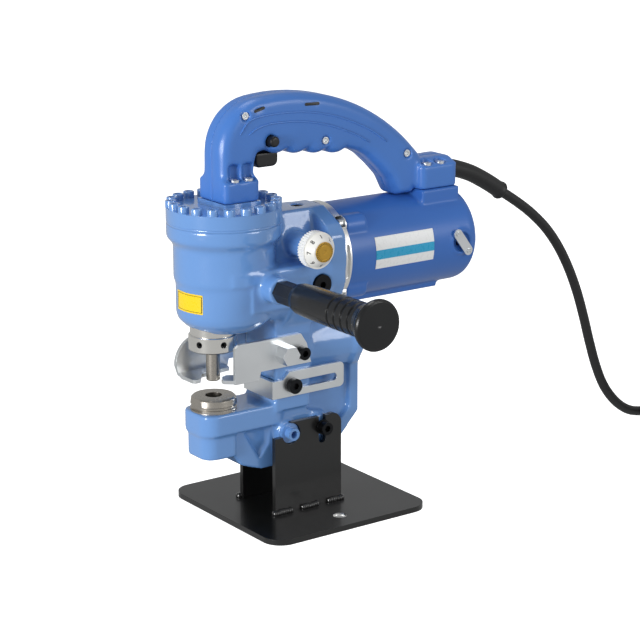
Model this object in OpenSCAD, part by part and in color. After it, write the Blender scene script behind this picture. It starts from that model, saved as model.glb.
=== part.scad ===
/* [Stand] */
// Side of the square base plate
base_side = 150; // [140:1:180]
// Thickness of the base plate
base_t = 4.5; // [3:0.5:8]
// Corner radius of the base plate
base_corner_r = 16; // [2:1:20]
// Diameter of the two bench holes
base_hole_d = 11; // [6:0.5:14]
// Distance between the two bench holes
base_hole_pitch = 110; // [90:1:124]
// Thickness of each upright plate
upright_t = 4; // [3:0.5:6]
// Width between the inner faces of the uprights
upright_gap = 42; // [42:0.5:48]
// Height of the uprights above the floor
upright_top = 78; // [77:1:82]
// Height of the hook bolts and stand screws above the floor
stand_bolt_z = 68.5; // [67:0.5:70]
// Outside diameter of the hollow hook bolts
hook_bolt_d = 10; // [8:0.5:12]
// Thread diameter of the stand screws
stand_screw_d = 6; // [5:0.5:7]

/* [Cylinder] */
// Distance of the cylinder axis in front of the plate centre
cyl_back = 69; // [67:0.5:71]
// Bore of the cylinder
bore_d = 60; // [59:0.5:62]
// Outside diameter of the cylinder body
cyl_d = 78; // [76:1:82]
// Diameter of the cover and its flange
cover_d = 88; // [88:1:92]
// Height of the top of the cover above the floor
cover_top = 251.5; // [250:0.5:253]
// Thickness of the cover
cover_t = 10.5; // [8:0.5:12]
// Thickness of the gasket
gasket_t = 0.8; // [0.5:0.1:1.5]
// Number of cover screws
cover_screw_n = 20; // [12:2:20]
// Thread diameter of the cover screws
cover_screw_d = 5; // [4:0.5:5.5]
// Height of the pad that carries the front of the handle
cover_pad_h = 4; // [2:0.5:6]

/* [Ram and punch] */
// Distance of the punch axis in front of the cylinder axis
punch_offset = 11.6; // [10:0.2:12]
// Diameter of the ram rod
rod_d = 35; // [30:0.5:36]
// Working stroke of the ram
stroke = 16; // [12:1:17]
// Height of the piston
piston_h = 20; // [16:1:22]
// Height of the lower end of the rod
rod_end_z = 153.5; // [152:0.5:155]
// Diameter of the punch holder
holder_d = 37.4; // [34:0.2:38]
// Height of the punch holder
holder_h = 12.5; // [11:0.5:14]
// Diameter of the punch
punch_d = 10.8; // [8:0.2:12]
// Height of the punch tip at rest
punch_tip_z = 115; // [114:0.5:117]
// Diameter of the hole in the die
die_hole_d = 13.2; // [12.6:0.2:15]
// Outside diameter of the die
die_d = 36; // [32:0.5:37]
// Height of the top of the die
die_top = 104; // [102:0.5:105]

/* [Throat] */
// Height of the top of the lower jaw
jaw_top = 93; // [91:0.5:95]
// Width of the upper jaw slab
jaw_w = 40; // [38:0.5:42]
// Distance of the jaw nose in front of the punch axis
jaw_nose = 19; // [18.5:0.5:24]
// Thickness of the stripper plates and of the gauge
sheet_t = 3; // [2:0.5:4]
// Width of the casting across the stripper pads
pad_w = 42; // [40:0.5:42]
// Thickness of the back rim of the frame
rim_w = 34; // [28:1:38]
// Travel of the back gauge
gauge_travel = 19; // [10:1:19]

/* [Motor] */
// Outside diameter of the motor housing
motor_d = 77; // [76:0.5:80]
// Height of the motor axis
motor_z = 203; // [202.5:0.5:204]
// Wall of the motor housing
motor_wall = 3; // [2:0.5:4]
// Length of the motor housing
motor_len = 129; // [127:1:133]
// Module of the gear pair
gear_module = 1; // [0.9:0.05:1]
// Teeth of the pinion
pinion_teeth = 12; // [11:1:13]
// Teeth of the drive gear
gear_teeth = 36; // [34:1:36]
// Throw of the pump eccentric
pump_throw = 2; // [1:0.5:3]

/* [Handle] */
// Width of the grip
grip_w = 30; // [26:1:34]
// Width of the front handle foot
front_foot_w = 38; // [34:1:42]
// Width of the rear handle foot
rear_foot_w = 44; // [40:1:48]
// Distance between the finger bumps
finger_pitch = 18.4; // [17:0.1:19]
// Travel of the trigger
trigger_travel = 5; // [2:0.5:6]
// Travel of the lock button
button_travel = 2.5; // [1:0.5:3]
// Length of the side grip
side_grip_len = 98.5; // [80:0.5:120]
// Diameter of the side grip
side_grip_d = 25; // [22:0.5:30]
// Diameter of the relief dial
dial_d = 28.5; // [24:0.5:31]

/* [Cord] */
// Diameter of the mains lead
cord_d = 8.5; // [7:0.1:9]

/* [Hidden] */
$fn = 48;

// Clearances: running fit of a shaft, snug fit of a seated piece, gap between moving neighbours
run_fit = 0.05;
seat_fit = 0.05;
air_gap = 0.4;

cast_blue = [0.45, 0.59, 0.82];
plastic_blue = [0.22, 0.36, 0.68];
black = [0.08, 0.08, 0.09];
zinc = [0.80, 0.82, 0.82];
steel = [0.62, 0.60, 0.58];
bronze = [0.72, 0.52, 0.28];
copper = [0.75, 0.42, 0.22];

// Places along X, with the cylinder in front and the motor behind
cyl_x = -cyl_back;
punch_x = cyl_x - punch_offset;
cyl_r = cyl_d / 2;
bore_r = bore_d / 2;
cover_r = cover_d / 2;
cover_z = cover_top - cover_t;
cyl_top = cover_z - gasket_t;
flange_h = 17;
cyl_bottom = 157;
gland_z = cyl_bottom + 4.5;
cover_pitch_r = cover_r - 4;
screw_bite = 12;

// Ram heights
piston_z = cyl_top - 8 - piston_h;
rod_r = rod_d / 2;
seal_groove = 3;
holder_z = rod_end_z - holder_h;
punch_head_r = punch_d / 2 + 2.6;
punch_head_h = 9;
bush_r = rod_r + 2;
seal_h = 4;
spring_x = cyl_x + 18.5;
spring_r = 6.5;
spring_wire = 2.5;
spring_turns = 7;
spring_seat = 2;
spring_room = 26.2;
chamber_z = piston_z - stroke - spring_room;

// Throat
throat_x = -37;
slab_z = jaw_top - 17;
nose_z = 56.5;
belly_z = 40;
nose_w = 34;
nose_back_x = -71;
belly_w = 26;
back_x = 46;
pad_x1 = -4;
flare_x = back_x - 9;
flare_w = 54;
shoulder_a = 7;
shoulder_w = 39;
back_low_z = 72.4;
nose_x = punch_x - jaw_nose;
die_shank_r = die_hole_d / 2 + 5;
die_seat_z = 80;
slug_r = die_hole_d / 2 + 1.2;
plate_y = pad_w / 2;
hook_x = -25;
stand_screw_x = 4.5;
upright_x0 = -40.5;
upright_x1 = 23;
inner_y = upright_gap / 2;
outer_y = inner_y + upright_t;
hook_boss_r = 8;
slot_w = stand_screw_d + 0.6;

// Strippers and gauge
strip_top = 147.5;
strip_low = 116.5;
strip_step_z = 123.2;
strip_front_near = -76;
strip_front_far = -101;
strip_back_x = -56;
bolt_x = -32;
bolt_z = 134.5;
bolt_af = 14;
bolt_h = 12;
bolt_d = 8;
cap_x = -15;
cap_z = 132.5;
cap_d = 6;
gauge_x0 = -42;
gauge_x1 = 26;
gauge_z0 = 98.5;
gauge_leg_top = 112.8;
gauge_top = 118.5;
gauge_step_x = -26;
gauge_screw_x = -23;
gauge_slot_z = 107.3;
gauge_slot_w = 6.4;
gauge_leg_y = 16;
gauge_head_d = 12;
gauge_head_h = 4.6;

// Pump housing
house_w = 78;
house_top = 243.5;
house_flat_w = 30;
upper_w = 46;
ledge_z = 206;
band_z = 196;
house_low_z = 154;
seam_z = 156.5;
join_low_z = 161;
house_x1 = 1;
face_x = 16;
adapter_t = 6;
motor_x = face_x + adapter_t;
motor_r = motor_d / 2;
bearing_r = 11;
bearing_w = 8;
shaft_r = 5;
gear_z = motor_z - gear_module * (pinion_teeth + gear_teeth) / 2;
gear_w = 8;
gear_x = 5;
gear_room_r = gear_module * (gear_teeth / 2 + 1) + 2;
gear_room_x0 = -22;
journal_r = 6;
cam_r = 8.4;
cam_x = -17;
cam_w = 10;
block_w = 16;
block_x = cam_x + cam_w / 2;
block_top = 228;
plunger_r = 3.5;
plunger_z = gear_z + cam_r + pump_throw + air_gap;
plunger_len = 22;
dial_x = -19;
dial_z = 219.5;
dial_boss_y = -house_w / 2 - 6;
dial_h = 8;
dial_cone_h = 6;
stem_r = 3;
plug_x = -7;
plug_z = 188.6;
plug_r = 8;
plug_len = 8;
filler_x = -2;
filler_r = 4.5;
filler_len = 9;
side_x = -53.5;
side_z = 193;
side_boss_y = house_w / 2 + 15;
side_boss_r = 10.5;
side_thread_r = 5.1;
side_thread_len = 12;
neck_af = 15.5;
neck_len = 22;

// Motor inside
stator_x0 = motor_x + 32;
stator_len = 48;
rotor_r = 22;
rotor_gap = 0.6;
rotor_over = 2;
comm_x0 = motor_x + motor_len - 25;
comm_len = 13;
comm_r = 13;
fan_x0 = motor_x + 14;
fan_len = 9;
fan_r = 31;
rear_bearing_x = motor_x + motor_len - motor_wall - bearing_w;
brush_x = comm_x0 + comm_len / 2;
brush_w = 7;
brush_tube_r = 8;
ear_r = 8;
ear_step = 0.5;
ear_len = 20;
ear_a = 45;
boss_foot_x0 = motor_x + motor_len - 47;
boss_foot_x1 = motor_x + motor_len - 10;
boss_foot_top = 245.5;

// Handle
grip_y = grip_w / 2;
foot_z = cover_top + cover_pad_h;
foot_x0 = -80;
foot_x1 = -48;
foot_low = 271;
foot_top = 277;
front_screw_x = [-68.5, -56];
rear_screw_x = [boss_foot_x0 + 9.2, boss_foot_x0 + 22.5];
front_screw_y = front_foot_w / 2 - 5;
rear_screw_y = rear_foot_w / 2 - 6;
front_head_z = foot_low;
rear_low = boss_foot_top + 18.5;
rear_top = rear_low + 5;
rear_head_z = rear_low;
head_pocket_r = 5.2;
handle_screw_d = 3;
handle_pocket_r = 3.9;
arm_low = motor_z + motor_r + 0.5;
arm_end_x = boss_foot_x0 + 8;
arch_x = -22;
arch_top = 333.2;
arch_r = 175;
bend_r = 40;
trigger_x0 = -43.5;
trigger_x1 = -23.5;
trigger_low = 277.5;
trigger_w = 13;
button_x = -35;
button_z = 298.7;
button_r = 4.2;
switch_z0 = 294;
switch_z1 = 318;
handle_screw_at = [[-58, 319.8], [15.6, 293.8], [95, 275.3]];

// Cord route: along the sleeve from the handle's end, then from the sleeve to the floor beside the coil
sleeve_z = boss_foot_top + 10.5;
sleeve_bend = [[0, 0], [7, 0], [17, 2.5], [32, 8], [49, 17], [65, 27]];
sleeve_path = [for (p = sleeve_bend) [boss_foot_x1 + p.x, 0, sleeve_z - p.y]];
sleeve_end = sleeve_path[len(sleeve_path) - 1];
sleeve_r = 7;
lead_fall = [[0, 1], [16, 0.956], [33, 0.902], [50, 0.835], [65, 0.755], [78, 0.662], [89, 0.56], [98, 0.453],
    [106, 0.346], [115, 0.239], [126, 0.146], [141, 0.07], [158, 0.021], [176, 0.0024], [190, 0], [206, 0]];
lead_path = [for (p = lead_fall) [sleeve_end.x + p.x, 0, cord_d / 2 + (sleeve_end.z - cord_d / 2) * p.y]];
coil_turns = 6.5;
coil_pitch = cord_d + 0.7;
coil_out_r = 64.5;
coil_x = lead_path[len(lead_path) - 1].x;
coil_low_z = cord_d / 2;
coil_high_z = coil_low_z + coil_pitch;
coil_rings = 24;
coil_tail = 48;
plug_body_r = coil_high_z;
plug_body_len = 38;
plug_neck_len = 16;
blade_len = 17;
blade_w = 6.3;
blade_t = 1.5;
blade_gap = 12.7;

// Unit vector, tangent of a path and a ring of points round it
function unit(v) = v / norm(v);
function tangent(p, i) = unit(p[min(i + 1, len(p) - 1)] - p[max(i - 1, 0)]);
function ring(p, i, r, sides, up) =
    let (t = tangent(p, i), a = unit(cross(t, up)), b = cross(t, a))
    [for (k = [0 : sides - 1]) p[i] + r * (cos(360 * k / sides) * a + sin(360 * k / sides) * b)];
// Closed skin over rings of equal count, each turning anticlockwise about the way forward
module skin(rings) {
    n = len(rings[0]);
    m = len(rings);
    sides = [for (i = [0 : m - 2], k = [0 : n - 1]) let (a = i * n + k, b = i * n + (k + 1) % n)
        each [[a, b + n, b], [a, a + n, b + n]]];
    ends = [[for (k = [0 : n - 1]) k], [for (k = [n - 1 : -1 : 0]) (m - 1) * n + k]];
    polyhedron([for (r = rings) each r], concat(sides, ends));
}
module tube(path, r, sides, up) {
    skin([for (i = [0 : len(path) - 1]) ring(path, i, is_list(r) ? r[i] : r, sides, up)]);
}
// Least distance between points of a winding that lie more than half a turn apart along it
function winding_gap(p, step, d) = min([for (i = [0 : 2 : len(p) - 1], j = [i + step : 1 : len(p) - 1])
    norm(p[i] - p[j])]) - d;
function arc(c, r, a0, a1, n)
    = [for (i = [0 : n]) let (a = a0 + (a1 - a0) * i / n) c + r * [cos(a), sin(a)]];

// Solids that run along X or Y, profiles in the XZ and YZ planes
module along_x(p) { translate(p) rotate([0, 90, 0]) children(); }
module along_y(p) { translate(p) rotate([-90, 0, 0]) children(); }
module out_y(p) { translate(p) rotate([90, 0, 0]) children(); }
module xz(y0, y1) { translate([0, y1, 0]) rotate([90, 0, 0]) linear_extrude(y1 - y0) children(); }
module yz(x0, x1) { translate([x0, 0, 0]) rotate([90, 0, 90]) linear_extrude(x1 - x0) children(); }
module box(x, y, z) { translate([x[0], y[0], z[0]]) cube([x[1] - x[0], y[1] - y[0], z[1] - z[0]]); }
module both_sides() { children(); mirror([0, 1, 0]) children(); }
module round_rect(x0, x1, y0, y1, r) {
    translate([x0 + r, y0]) square([x1 - x0 - 2 * r, y1 - y0]);
    translate([x0, y0 + r]) square([x1 - x0, y1 - y0 - 2 * r]);
    for (x = [x0 + r, x1 - r], y = [y0 + r, y1 - r]) translate([x, y]) circle(r);
}
module ring_solid(r1, r0, h) {
    difference() {
        cylinder(r = r1, h = h);
        translate([0, 0, -1]) cylinder(r = r0, h = h + 2);
    }
}
// Socket head screw with its head above z = 0 and its shank below
module cap_screw(d, len, head_h, socket_h) {
    difference() {
        union() {
            cylinder(d = d * 1.7, h = head_h);
            translate([0, 0, -len]) cylinder(d = d - 2 * seat_fit, h = len + 0.1);
        }
        translate([0, 0, head_h - socket_h]) cylinder(d = d * 0.95, h = socket_h + 1, $fn = 6);
    }
}
module pan_screw(d, len) {
    head_r = d * 0.95;
    difference() {
        union() {
            cylinder(r = head_r, h = d * 0.5);
            translate([0, 0, -len]) cylinder(d = d - 2 * seat_fit, h = len + 0.1);
        }
        for (a = [0, 90]) rotate(a) translate([-head_r * 0.6, -0.5, d * 0.25]) cube([head_r * 1.2, 1, d]);
    }
}

module stand_plate() {
    color(black) difference() {
        linear_extrude(base_t)
            round_rect(-base_side / 2, base_side / 2, -base_side / 2, base_side / 2, base_corner_r);
        for (s = [-1, 1]) translate([0, s * base_hole_pitch / 2, -1])
            cylinder(d = base_hole_d, h = base_t + 2);
    }
}

// One upright, with a cradle for the hook bolt and an open slot for the stand screw
module upright() {
    cradle_r = hook_boss_r + air_gap;
    lug_r = 9;
    xz(inner_y, outer_y) difference() {
        union() {
            translate([upright_x0, base_t]) square([upright_x1 - upright_x0, upright_top - lug_r - base_t]);
            translate([hook_x - 1, upright_top - lug_r - 1])
                square([upright_x1 - lug_r - hook_x + 1, lug_r + 0.5]);
            translate([upright_x1 - lug_r, upright_top - lug_r]) circle(lug_r);
        }
        translate([hook_x, stand_bolt_z]) circle(cradle_r);
        translate([upright_x0 - 1, stand_bolt_z - 2]) square([hook_x - upright_x0 + 1, upright_top]);
        translate([stand_screw_x, stand_bolt_z - 10]) circle(d = slot_w);
        translate([stand_screw_x - slot_w / 2, stand_bolt_z - 10]) square([slot_w, upright_top]);
    }
}
module stand_upright_far() { color(black) upright(); }
module stand_upright_near() { color(black) mirror([0, 1, 0]) upright(); }

module stand_hook_bolts() {
    color(cast_blue) both_sides() out_y([hook_x, -inner_y, stand_bolt_z]) difference() {
        union() {
            cylinder(r = hook_boss_r, h = 2);
            cylinder(d = hook_bolt_d, h = upright_t + 4);
            translate([0, 0, -10]) cylinder(d = hook_bolt_d - 2 - 2 * seat_fit, h = 11);
        }
        cylinder(d = hook_bolt_d - 4, h = upright_t + 5);
    }
}
module stand_screws() {
    color(black) both_sides() out_y([stand_screw_x, -outer_y, stand_bolt_z]) {
        translate([0, 0, 1.5]) cap_screw(stand_screw_d, 12, 6, 3.5);
        cylinder(d = stand_screw_d * 2, h = 1.6);
    }
}

function house_outline(flat, top, low) = let (w = house_w / 2, u = upper_w / 2) [[-flat, top],
    [-u, ledge_z + 1], [-w, ledge_z], [-w, 175], [-21, low], [21, low], [w, 175], [w, ledge_z],
    [u, ledge_z + 1], [flat, top]];
function shoulder_outline(w) = [[8, 113.4], [8 - w, 113.4], [5.3 - w, 118.5], [2 - w, 123.5], [0.4 - w, 129],
    [0.4 - w, 135], [2 - w, 141], [4.5 - w, 146], [9 - w, 150.3], [8, 150.3]];
module cylinder_outside() {
    rib_r = cyl_r - 1.5;
    translate([cyl_x, 0, 0]) rotate_extrude() polygon([[0, cyl_bottom], [rib_r - 11.5, cyl_bottom],
        [rib_r - 6, cyl_bottom + 4], [rib_r - 1.5, cyl_bottom + 8.5], [rib_r, cyl_bottom + 13],
        [rib_r, band_z - 3], [cyl_r, band_z + 0.5], [cyl_r, cyl_top - flange_h],
        [cover_r, cyl_top - flange_h + 6], [cover_r, cyl_top], [0, cyl_top]]);
}
module frame_outside() {
    cylinder_outside();
    yz(cyl_x, -20) polygon(house_outline(20, cyl_top - flange_h - 2, join_low_z));
    yz(-32, house_x1) polygon(house_outline(house_flat_w / 2, house_top, house_low_z));
    yz(house_x1, face_x) polygon([[-12, house_top], [-34, 232], [-40, 225], [-42, 208], [-41, 188],
        [-36, 176], [-24, house_low_z], [24, house_low_z], [36, 176], [41, 188], [42, 208], [40, 225],
        [34, 232], [12, house_top]]);
    translate([0, 0, band_z]) linear_extrude(ledge_z - band_z - 0.5) both_sides()
        polygon([[cyl_x - 27, 0], [cyl_x - 27, 27], [cyl_x - 15, 37], [cyl_x - 3, 40], [house_x1 + 2, 40.5],
            [house_x1 + 2, 0]]);
    xz(-rim_w / 2, rim_w / 2) polygon(concat([[throat_x, 165], [throat_x, slab_z + 4], [-30, belly_z + 8],
        [16, belly_z + 2], [29, 54.7], [back_x, back_low_z]],
        [[back_x, 130], [back_x - 3, 139], [back_x - 11, 147], [14, 152], [12, 165]]));
    box([throat_x, pad_x1 + 1], [-plate_y, plate_y], [jaw_top - 6, 165]);
    both_sides() {
        yz(flare_x, back_x - 1) polygon(shoulder_outline(flare_w / 2));
        translate([pad_x1, 0, 0]) rotate(-shoulder_a) yz(0, flare_x - pad_x1 + 3)
            polygon(shoulder_outline(shoulder_w / 2));
    }
    translate([0, 0, slab_z]) linear_extrude(jaw_top - slab_z)
        round_rect(nose_x, throat_x + 14, -jaw_w / 2, jaw_w / 2, 12);
    translate([0, 0, nose_z]) linear_extrude(slab_z - nose_z + 1) {
        round_rect(nose_x + 1.5, nose_back_x, -nose_w / 2, nose_w / 2, 10);
        translate([nose_back_x - 12, -nose_w / 2]) square([12, nose_w]);
    }
    xz(-belly_w / 2, belly_w / 2) polygon([[-74, slab_z + 1], [-74, nose_z + 2], [-63.6, 46.3],
        [-55.9, 43.3], [-45, belly_z], [14, belly_z], [29, 54.7], [29, slab_z + 1]]);
    along_y([hook_x, -inner_y, stand_bolt_z]) cylinder(r = 9, h = upright_gap);
    along_y([stand_screw_x, -inner_y, stand_bolt_z]) cylinder(r = 9, h = upright_gap);
    out_y([dial_x, -upper_w / 2 + 8, dial_z]) cylinder(r = 9.5, h = -dial_boss_y - upper_w / 2 + 8);
    out_y([plug_x, -house_w / 2 + 4, plug_z]) cylinder(r = plug_r + 2.5, h = 6);
    both_sides() out_y([side_x, -house_w / 2 + 6, side_z])
        cylinder(r = side_boss_r, h = side_boss_y - house_w / 2 + 6);
}
module castings() {
    difference() {
        frame_outside();
        translate([cyl_x, 0, chamber_z]) cylinder(r = bore_r, h = 100);
        translate([cyl_x, 0, cyl_top]) cylinder(r = cover_r + air_gap, h = 50);
        translate([punch_x, 0, cyl_bottom - 1]) cylinder(r = rod_r + air_gap, h = chamber_z - cyl_bottom);
        translate([punch_x, 0, gland_z]) cylinder(r = bush_r, h = chamber_z - gland_z + 1);
        translate([spring_x, 0, chamber_z - spring_seat])
            cylinder(r = spring_r + spring_wire / 2 + 1, h = spring_seat + 1);
        cover_screw_holes(cover_screw_d / 2, cyl_top - screw_bite - 1, screw_bite + 2);
        along_x([gear_room_x0, 0, gear_z]) cylinder(r = gear_room_r, h = 60);
        along_x([gear_x - 4, 0, motor_z]) cylinder(r = gear_module * (pinion_teeth / 2 + 1) + 2, h = 60);
        along_x([gear_room_x0 - 12, 0, gear_z]) cylinder(r = journal_r + run_fit, h = 13);
        box([block_x - cam_w / 2, block_x + cam_w / 2], [-block_w / 2, block_w / 2], [gear_z, block_top]);
        along_x([cyl_x + bore_r - 2, 0, block_top - 4]) cylinder(r = 2, h = block_x - cyl_x - bore_r);
        out_y([dial_x, -14, dial_z]) cylinder(r = stem_r + run_fit, h = 60);
        both_sides() out_y([side_x, -side_boss_y + side_thread_len, side_z])
            cylinder(r = side_thread_r, h = 40);
        out_y([plug_x, -house_w / 2 - 2 + plug_len, plug_z]) cylinder(r = plug_r, h = 20);
        translate([filler_x, 0, house_top - filler_len]) cylinder(r = filler_r, h = 20);
        translate([punch_x, 0, die_seat_z])
            cylinder(r = die_shank_r + seat_fit, h = jaw_top - die_seat_z + 1);
        translate([punch_x, 0, belly_z - 1]) cylinder(r = slug_r, h = die_seat_z);
        along_y([punch_x, die_shank_r - 1, die_seat_z + 6]) cylinder(r = 4, h = 40);
        both_sides() out_y([bolt_x, -plate_y + screw_bite, bolt_z]) cylinder(d = bolt_d, h = 30);
        both_sides() out_y([cap_x, -plate_y + screw_bite, cap_z]) cylinder(d = cap_d, h = 30);
        out_y([gauge_screw_x, -plate_y + screw_bite, gauge_slot_z]) cylinder(d = cap_d, h = 30);
        both_sides() out_y([hook_x, -inner_y + 10, stand_bolt_z]) cylinder(d = hook_bolt_d - 2, h = 30);
        both_sides() out_y([stand_screw_x, -inner_y + 13, stand_bolt_z])
            cylinder(d = stand_screw_d, h = 30);
        both_sides() xz(rim_w / 2 - 6, rim_w / 2 + 10)
            polygon([[pad_x1, 114], [pad_x1, 82], [12, 78], [24, 64], [flare_x, 77], [flare_x, 114]]);
        both_sides() xz(belly_w / 2 - 3, belly_w / 2 + 3) polygon([[-62, slab_z - 3],
            [throat_x - 1.5, slab_z - 3], [throat_x - 1.5, 60], [-47, 50]]);
    }
}
// The C frame below the seam and the cylinder with its pump housing above
module frame_casting() {
    color(cast_blue) intersection() {
        castings();
        box([nose_x - 10, back_x + 10], [-house_w, house_w], [0, seam_z]);
    }
}
module pump_casting() {
    color(cast_blue) intersection() {
        castings();
        box([cyl_x - cover_d, back_x + 10], [-house_w, house_w], [seam_z, cover_top]);
    }
}
module cover_screw_holes(r, z, h) {
    for (i = [0 : cover_screw_n - 1]) translate([cyl_x, 0, z]) rotate(360 * (i + 0.5) / cover_screw_n)
        translate([cover_pitch_r, 0, 0]) cylinder(r = r, h = h);
}
module mount_points(xs, y, z) { for (x = xs, s = [-1, 1]) translate([x, s * y, z]) children(); }

module cylinder_cover() {
    color(cast_blue) difference() {
        union() {
            translate([cyl_x, 0, cover_z]) cylinder(r = cover_r, h = cover_t);
            box([foot_x0, foot_x1], [-front_foot_w / 2, front_foot_w / 2], [cover_top - 1, foot_z]);
        }
        cover_screw_holes(cover_screw_d / 2, cover_z - 1, cover_t + 9);
        mount_points(front_screw_x, front_screw_y, cover_z + 2) cylinder(r = 2, h = 40);
    }
}
module cover_gasket() {
    color(black) difference() {
        translate([cyl_x, 0, cyl_top]) ring_solid(cover_r - 0.6, bore_r + 1, gasket_t);
        cover_screw_holes(cover_screw_d / 2, cyl_top - 1, gasket_t + 2);
    }
}
module cover_screws() {
    color(cast_blue) for (i = [0 : cover_screw_n - 1]) translate([cyl_x, 0, cover_top])
        rotate(360 * (i + 0.5) / cover_screw_n) translate([cover_pitch_r, 0, 0])
        cap_screw(cover_screw_d, cover_t + gasket_t + screw_bite, cover_screw_d, cover_screw_d * 0.6);
}
module rod_bush() {
    color(bronze) translate([punch_x, 0, gland_z + seal_h])
        ring_solid(bush_r - seat_fit, rod_r + run_fit, chamber_z - gland_z - seal_h);
}
module rod_seal() {
    color(black) translate([punch_x, 0, gland_z]) ring_solid(bush_r - seat_fit, rod_r + run_fit, seal_h);
}
module piston_ram() {
    piston_r = bore_r - run_fit;
    groove_z = piston_z + piston_h / 2 - seal_h / 2;
    color(steel) union() {
        difference() {
            translate([cyl_x, 0, piston_z]) cylinder(r = piston_r, h = piston_h);
            translate([cyl_x, 0, groove_z]) ring_solid(bore_r + 1, piston_r - seal_groove, seal_h);
        }
        translate([punch_x, 0, rod_end_z]) cylinder(r = rod_r, h = piston_z - rod_end_z + 1);
    }
}
module piston_seal() {
    color(black) translate([cyl_x, 0, piston_z + piston_h / 2 - seal_h / 2 + seat_fit])
        ring_solid(bore_r - run_fit, bore_r - run_fit - seal_groove + seat_fit, seal_h - 2 * seat_fit);
}
function helix(x, y, z, r, h, turns) = [for (i = [0 : turns * 8])
    [x + r * cos(45 * i), y + r * sin(45 * i), z + h * i / (turns * 8)]];
module return_spring() {
    path = helix(spring_x, 0, chamber_z - spring_seat + spring_wire / 2 + 0.1, spring_r,
        piston_z - chamber_z + spring_seat - spring_wire - 0.3, spring_turns);
    echo(return_spring_gap = winding_gap(path, 5, spring_wire));
    color(steel) tube(path, spring_wire / 2, 6, [0, 0, 1]);
}

set_screw_r = 2.5;
set_screw_n = 6;
set_screw_a = 264;
set_screw_z = rod_end_z - 5.5;
module set_screw_ring(r0, r1, r) {
    for (i = [0 : set_screw_n - 1]) translate([punch_x, 0, set_screw_z])
        rotate(set_screw_a + 360 * i / set_screw_n) rotate([0, 90, 0]) translate([0, 0, r0])
            cylinder(r = r, h = r1 - r0);
}
module punch_holder() {
    holder_r = holder_d / 2;
    color(steel) difference() {
        translate([punch_x, 0, 0]) rotate_extrude() polygon([[0, holder_z], [holder_r - 1, holder_z],
            [holder_r, holder_z + 1], [holder_r, rod_end_z - 0.6], [holder_r - 0.6, rod_end_z],
                [0, rod_end_z]]);
        translate([punch_x, 0, holder_z - 1]) cylinder(r = punch_d / 2 + seat_fit, h = holder_h);
        translate([punch_x, 0, rod_end_z - punch_head_h])
            cylinder(r = punch_head_r + seat_fit, h = punch_head_h + 1);
        set_screw_ring(punch_head_r, holder_r + 1, set_screw_r);
    }
}
module holder_set_screws() {
    color(black) difference() {
        set_screw_ring(punch_head_r + 0.4, holder_d / 2 - 1.2, set_screw_r - seat_fit);
        for (i = [0 : set_screw_n - 1]) translate([punch_x, 0, set_screw_z])
            rotate(set_screw_a + 360 * i / set_screw_n) rotate([0, 90, 0])
            translate([0, 0, holder_d / 2 - 4]) cylinder(r = 1.4, h = 5, $fn = 6);
    }
}
module punch() {
    punch_r = punch_d / 2;
    color(steel) translate([punch_x, 0, 0]) rotate_extrude() polygon([[0, punch_tip_z], [0.9, punch_tip_z],
        [1.4, punch_tip_z + 1.2], [punch_r - 0.5, punch_tip_z + 1.2], [punch_r, punch_tip_z + 1.7],
        [punch_r, rod_end_z - punch_head_h], [punch_head_r, rod_end_z - punch_head_h],
            [punch_head_r, rod_end_z],
        [0, rod_end_z]]);
}
module die() {
    die_r = die_d / 2;
    color(steel) difference() {
        translate([punch_x, 0, 0]) rotate_extrude() polygon([[0, die_seat_z], [die_shank_r, die_seat_z],
            [die_shank_r, jaw_top], [die_r, jaw_top], [die_r, jaw_top + 2.5], [die_r - 0.9, jaw_top + 3.2],
            [die_r - 0.9, jaw_top + 4.6], [die_r, jaw_top + 5.3], [die_r - 0.6, die_top - 1.2],
            [die_r - 1.8, die_top], [0, die_top]]);
        translate([punch_x, 0, die_seat_z - 1]) cylinder(d = die_hole_d, h = die_top);
        box([punch_x - 2 * die_r, punch_x - die_r + 2], [-die_r, die_r], [jaw_top + 1, die_top + 1]);
    }
}
module die_lock_screw() {
    color(zinc) along_y([punch_x, 0, die_seat_z + 6]) {
        translate([0, 0, die_shank_r + 0.1]) cylinder(r = 4 - seat_fit, h = jaw_w / 2 - die_shank_r);
        translate([0, 0, jaw_w / 2]) cylinder(r = 7.5, h = 5, $fn = 6);
    }
}

module stripper_holes() {
    translate([bolt_x, bolt_z]) circle(d = bolt_d + 0.4);
    translate([cap_x, cap_z]) circle(d = cap_d + 0.4);
}
// Right-hand part of both stripper plates, behind the notch that clears the gauge
function strip_tail() = [[-54, strip_low], [-52.5, strip_step_z], [-5.5, strip_step_z], [-9.5, 139],
    [-15, strip_top]];
module stripper_near() {
    color(zinc) {
        xz(-plate_y - sheet_t, -plate_y) difference() {
            polygon(concat([[strip_front_near, strip_low]], strip_tail(),
                [[strip_front_near + 4, strip_top], [strip_front_near, strip_top - 3]]));
            stripper_holes();
        }
        translate([0, 0, strip_low]) linear_extrude(sheet_t) polygon([[strip_front_near, -plate_y - 0.5],
            [punch_x - 1.4, -16.5], [punch_x - 0.4, -12], [punch_x + 4.1, -6.5], [punch_x + 8.6, -5.2],
            [strip_back_x - 2, -14], [strip_back_x, -plate_y - 0.5]]);
    }
}
module stripper_far() {
    front_r = 22;
    color(zinc) {
        xz(plate_y, plate_y + sheet_t) difference() {
            polygon(concat([[strip_front_far + 3, strip_low]], strip_tail(),
                arc([strip_front_far + front_r, strip_top - front_r], front_r, 90, 180, 10)));
            stripper_holes();
        }
        translate([0, 0, strip_low]) linear_extrude(sheet_t) polygon([[strip_front_far + 3, plate_y + 0.5],
            [strip_front_far + 0.5, 14], [strip_front_far + 1, -1.5], [strip_front_far + 2.5, -3],
            [punch_x - 13.4, -3], [punch_x - 5.4, 8], [punch_x - 3.4, 8.2], [punch_x + 7.6, 10],
            [strip_back_x - 2, 12], [strip_back_x, plate_y + 0.5]]);
    }
}
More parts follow.
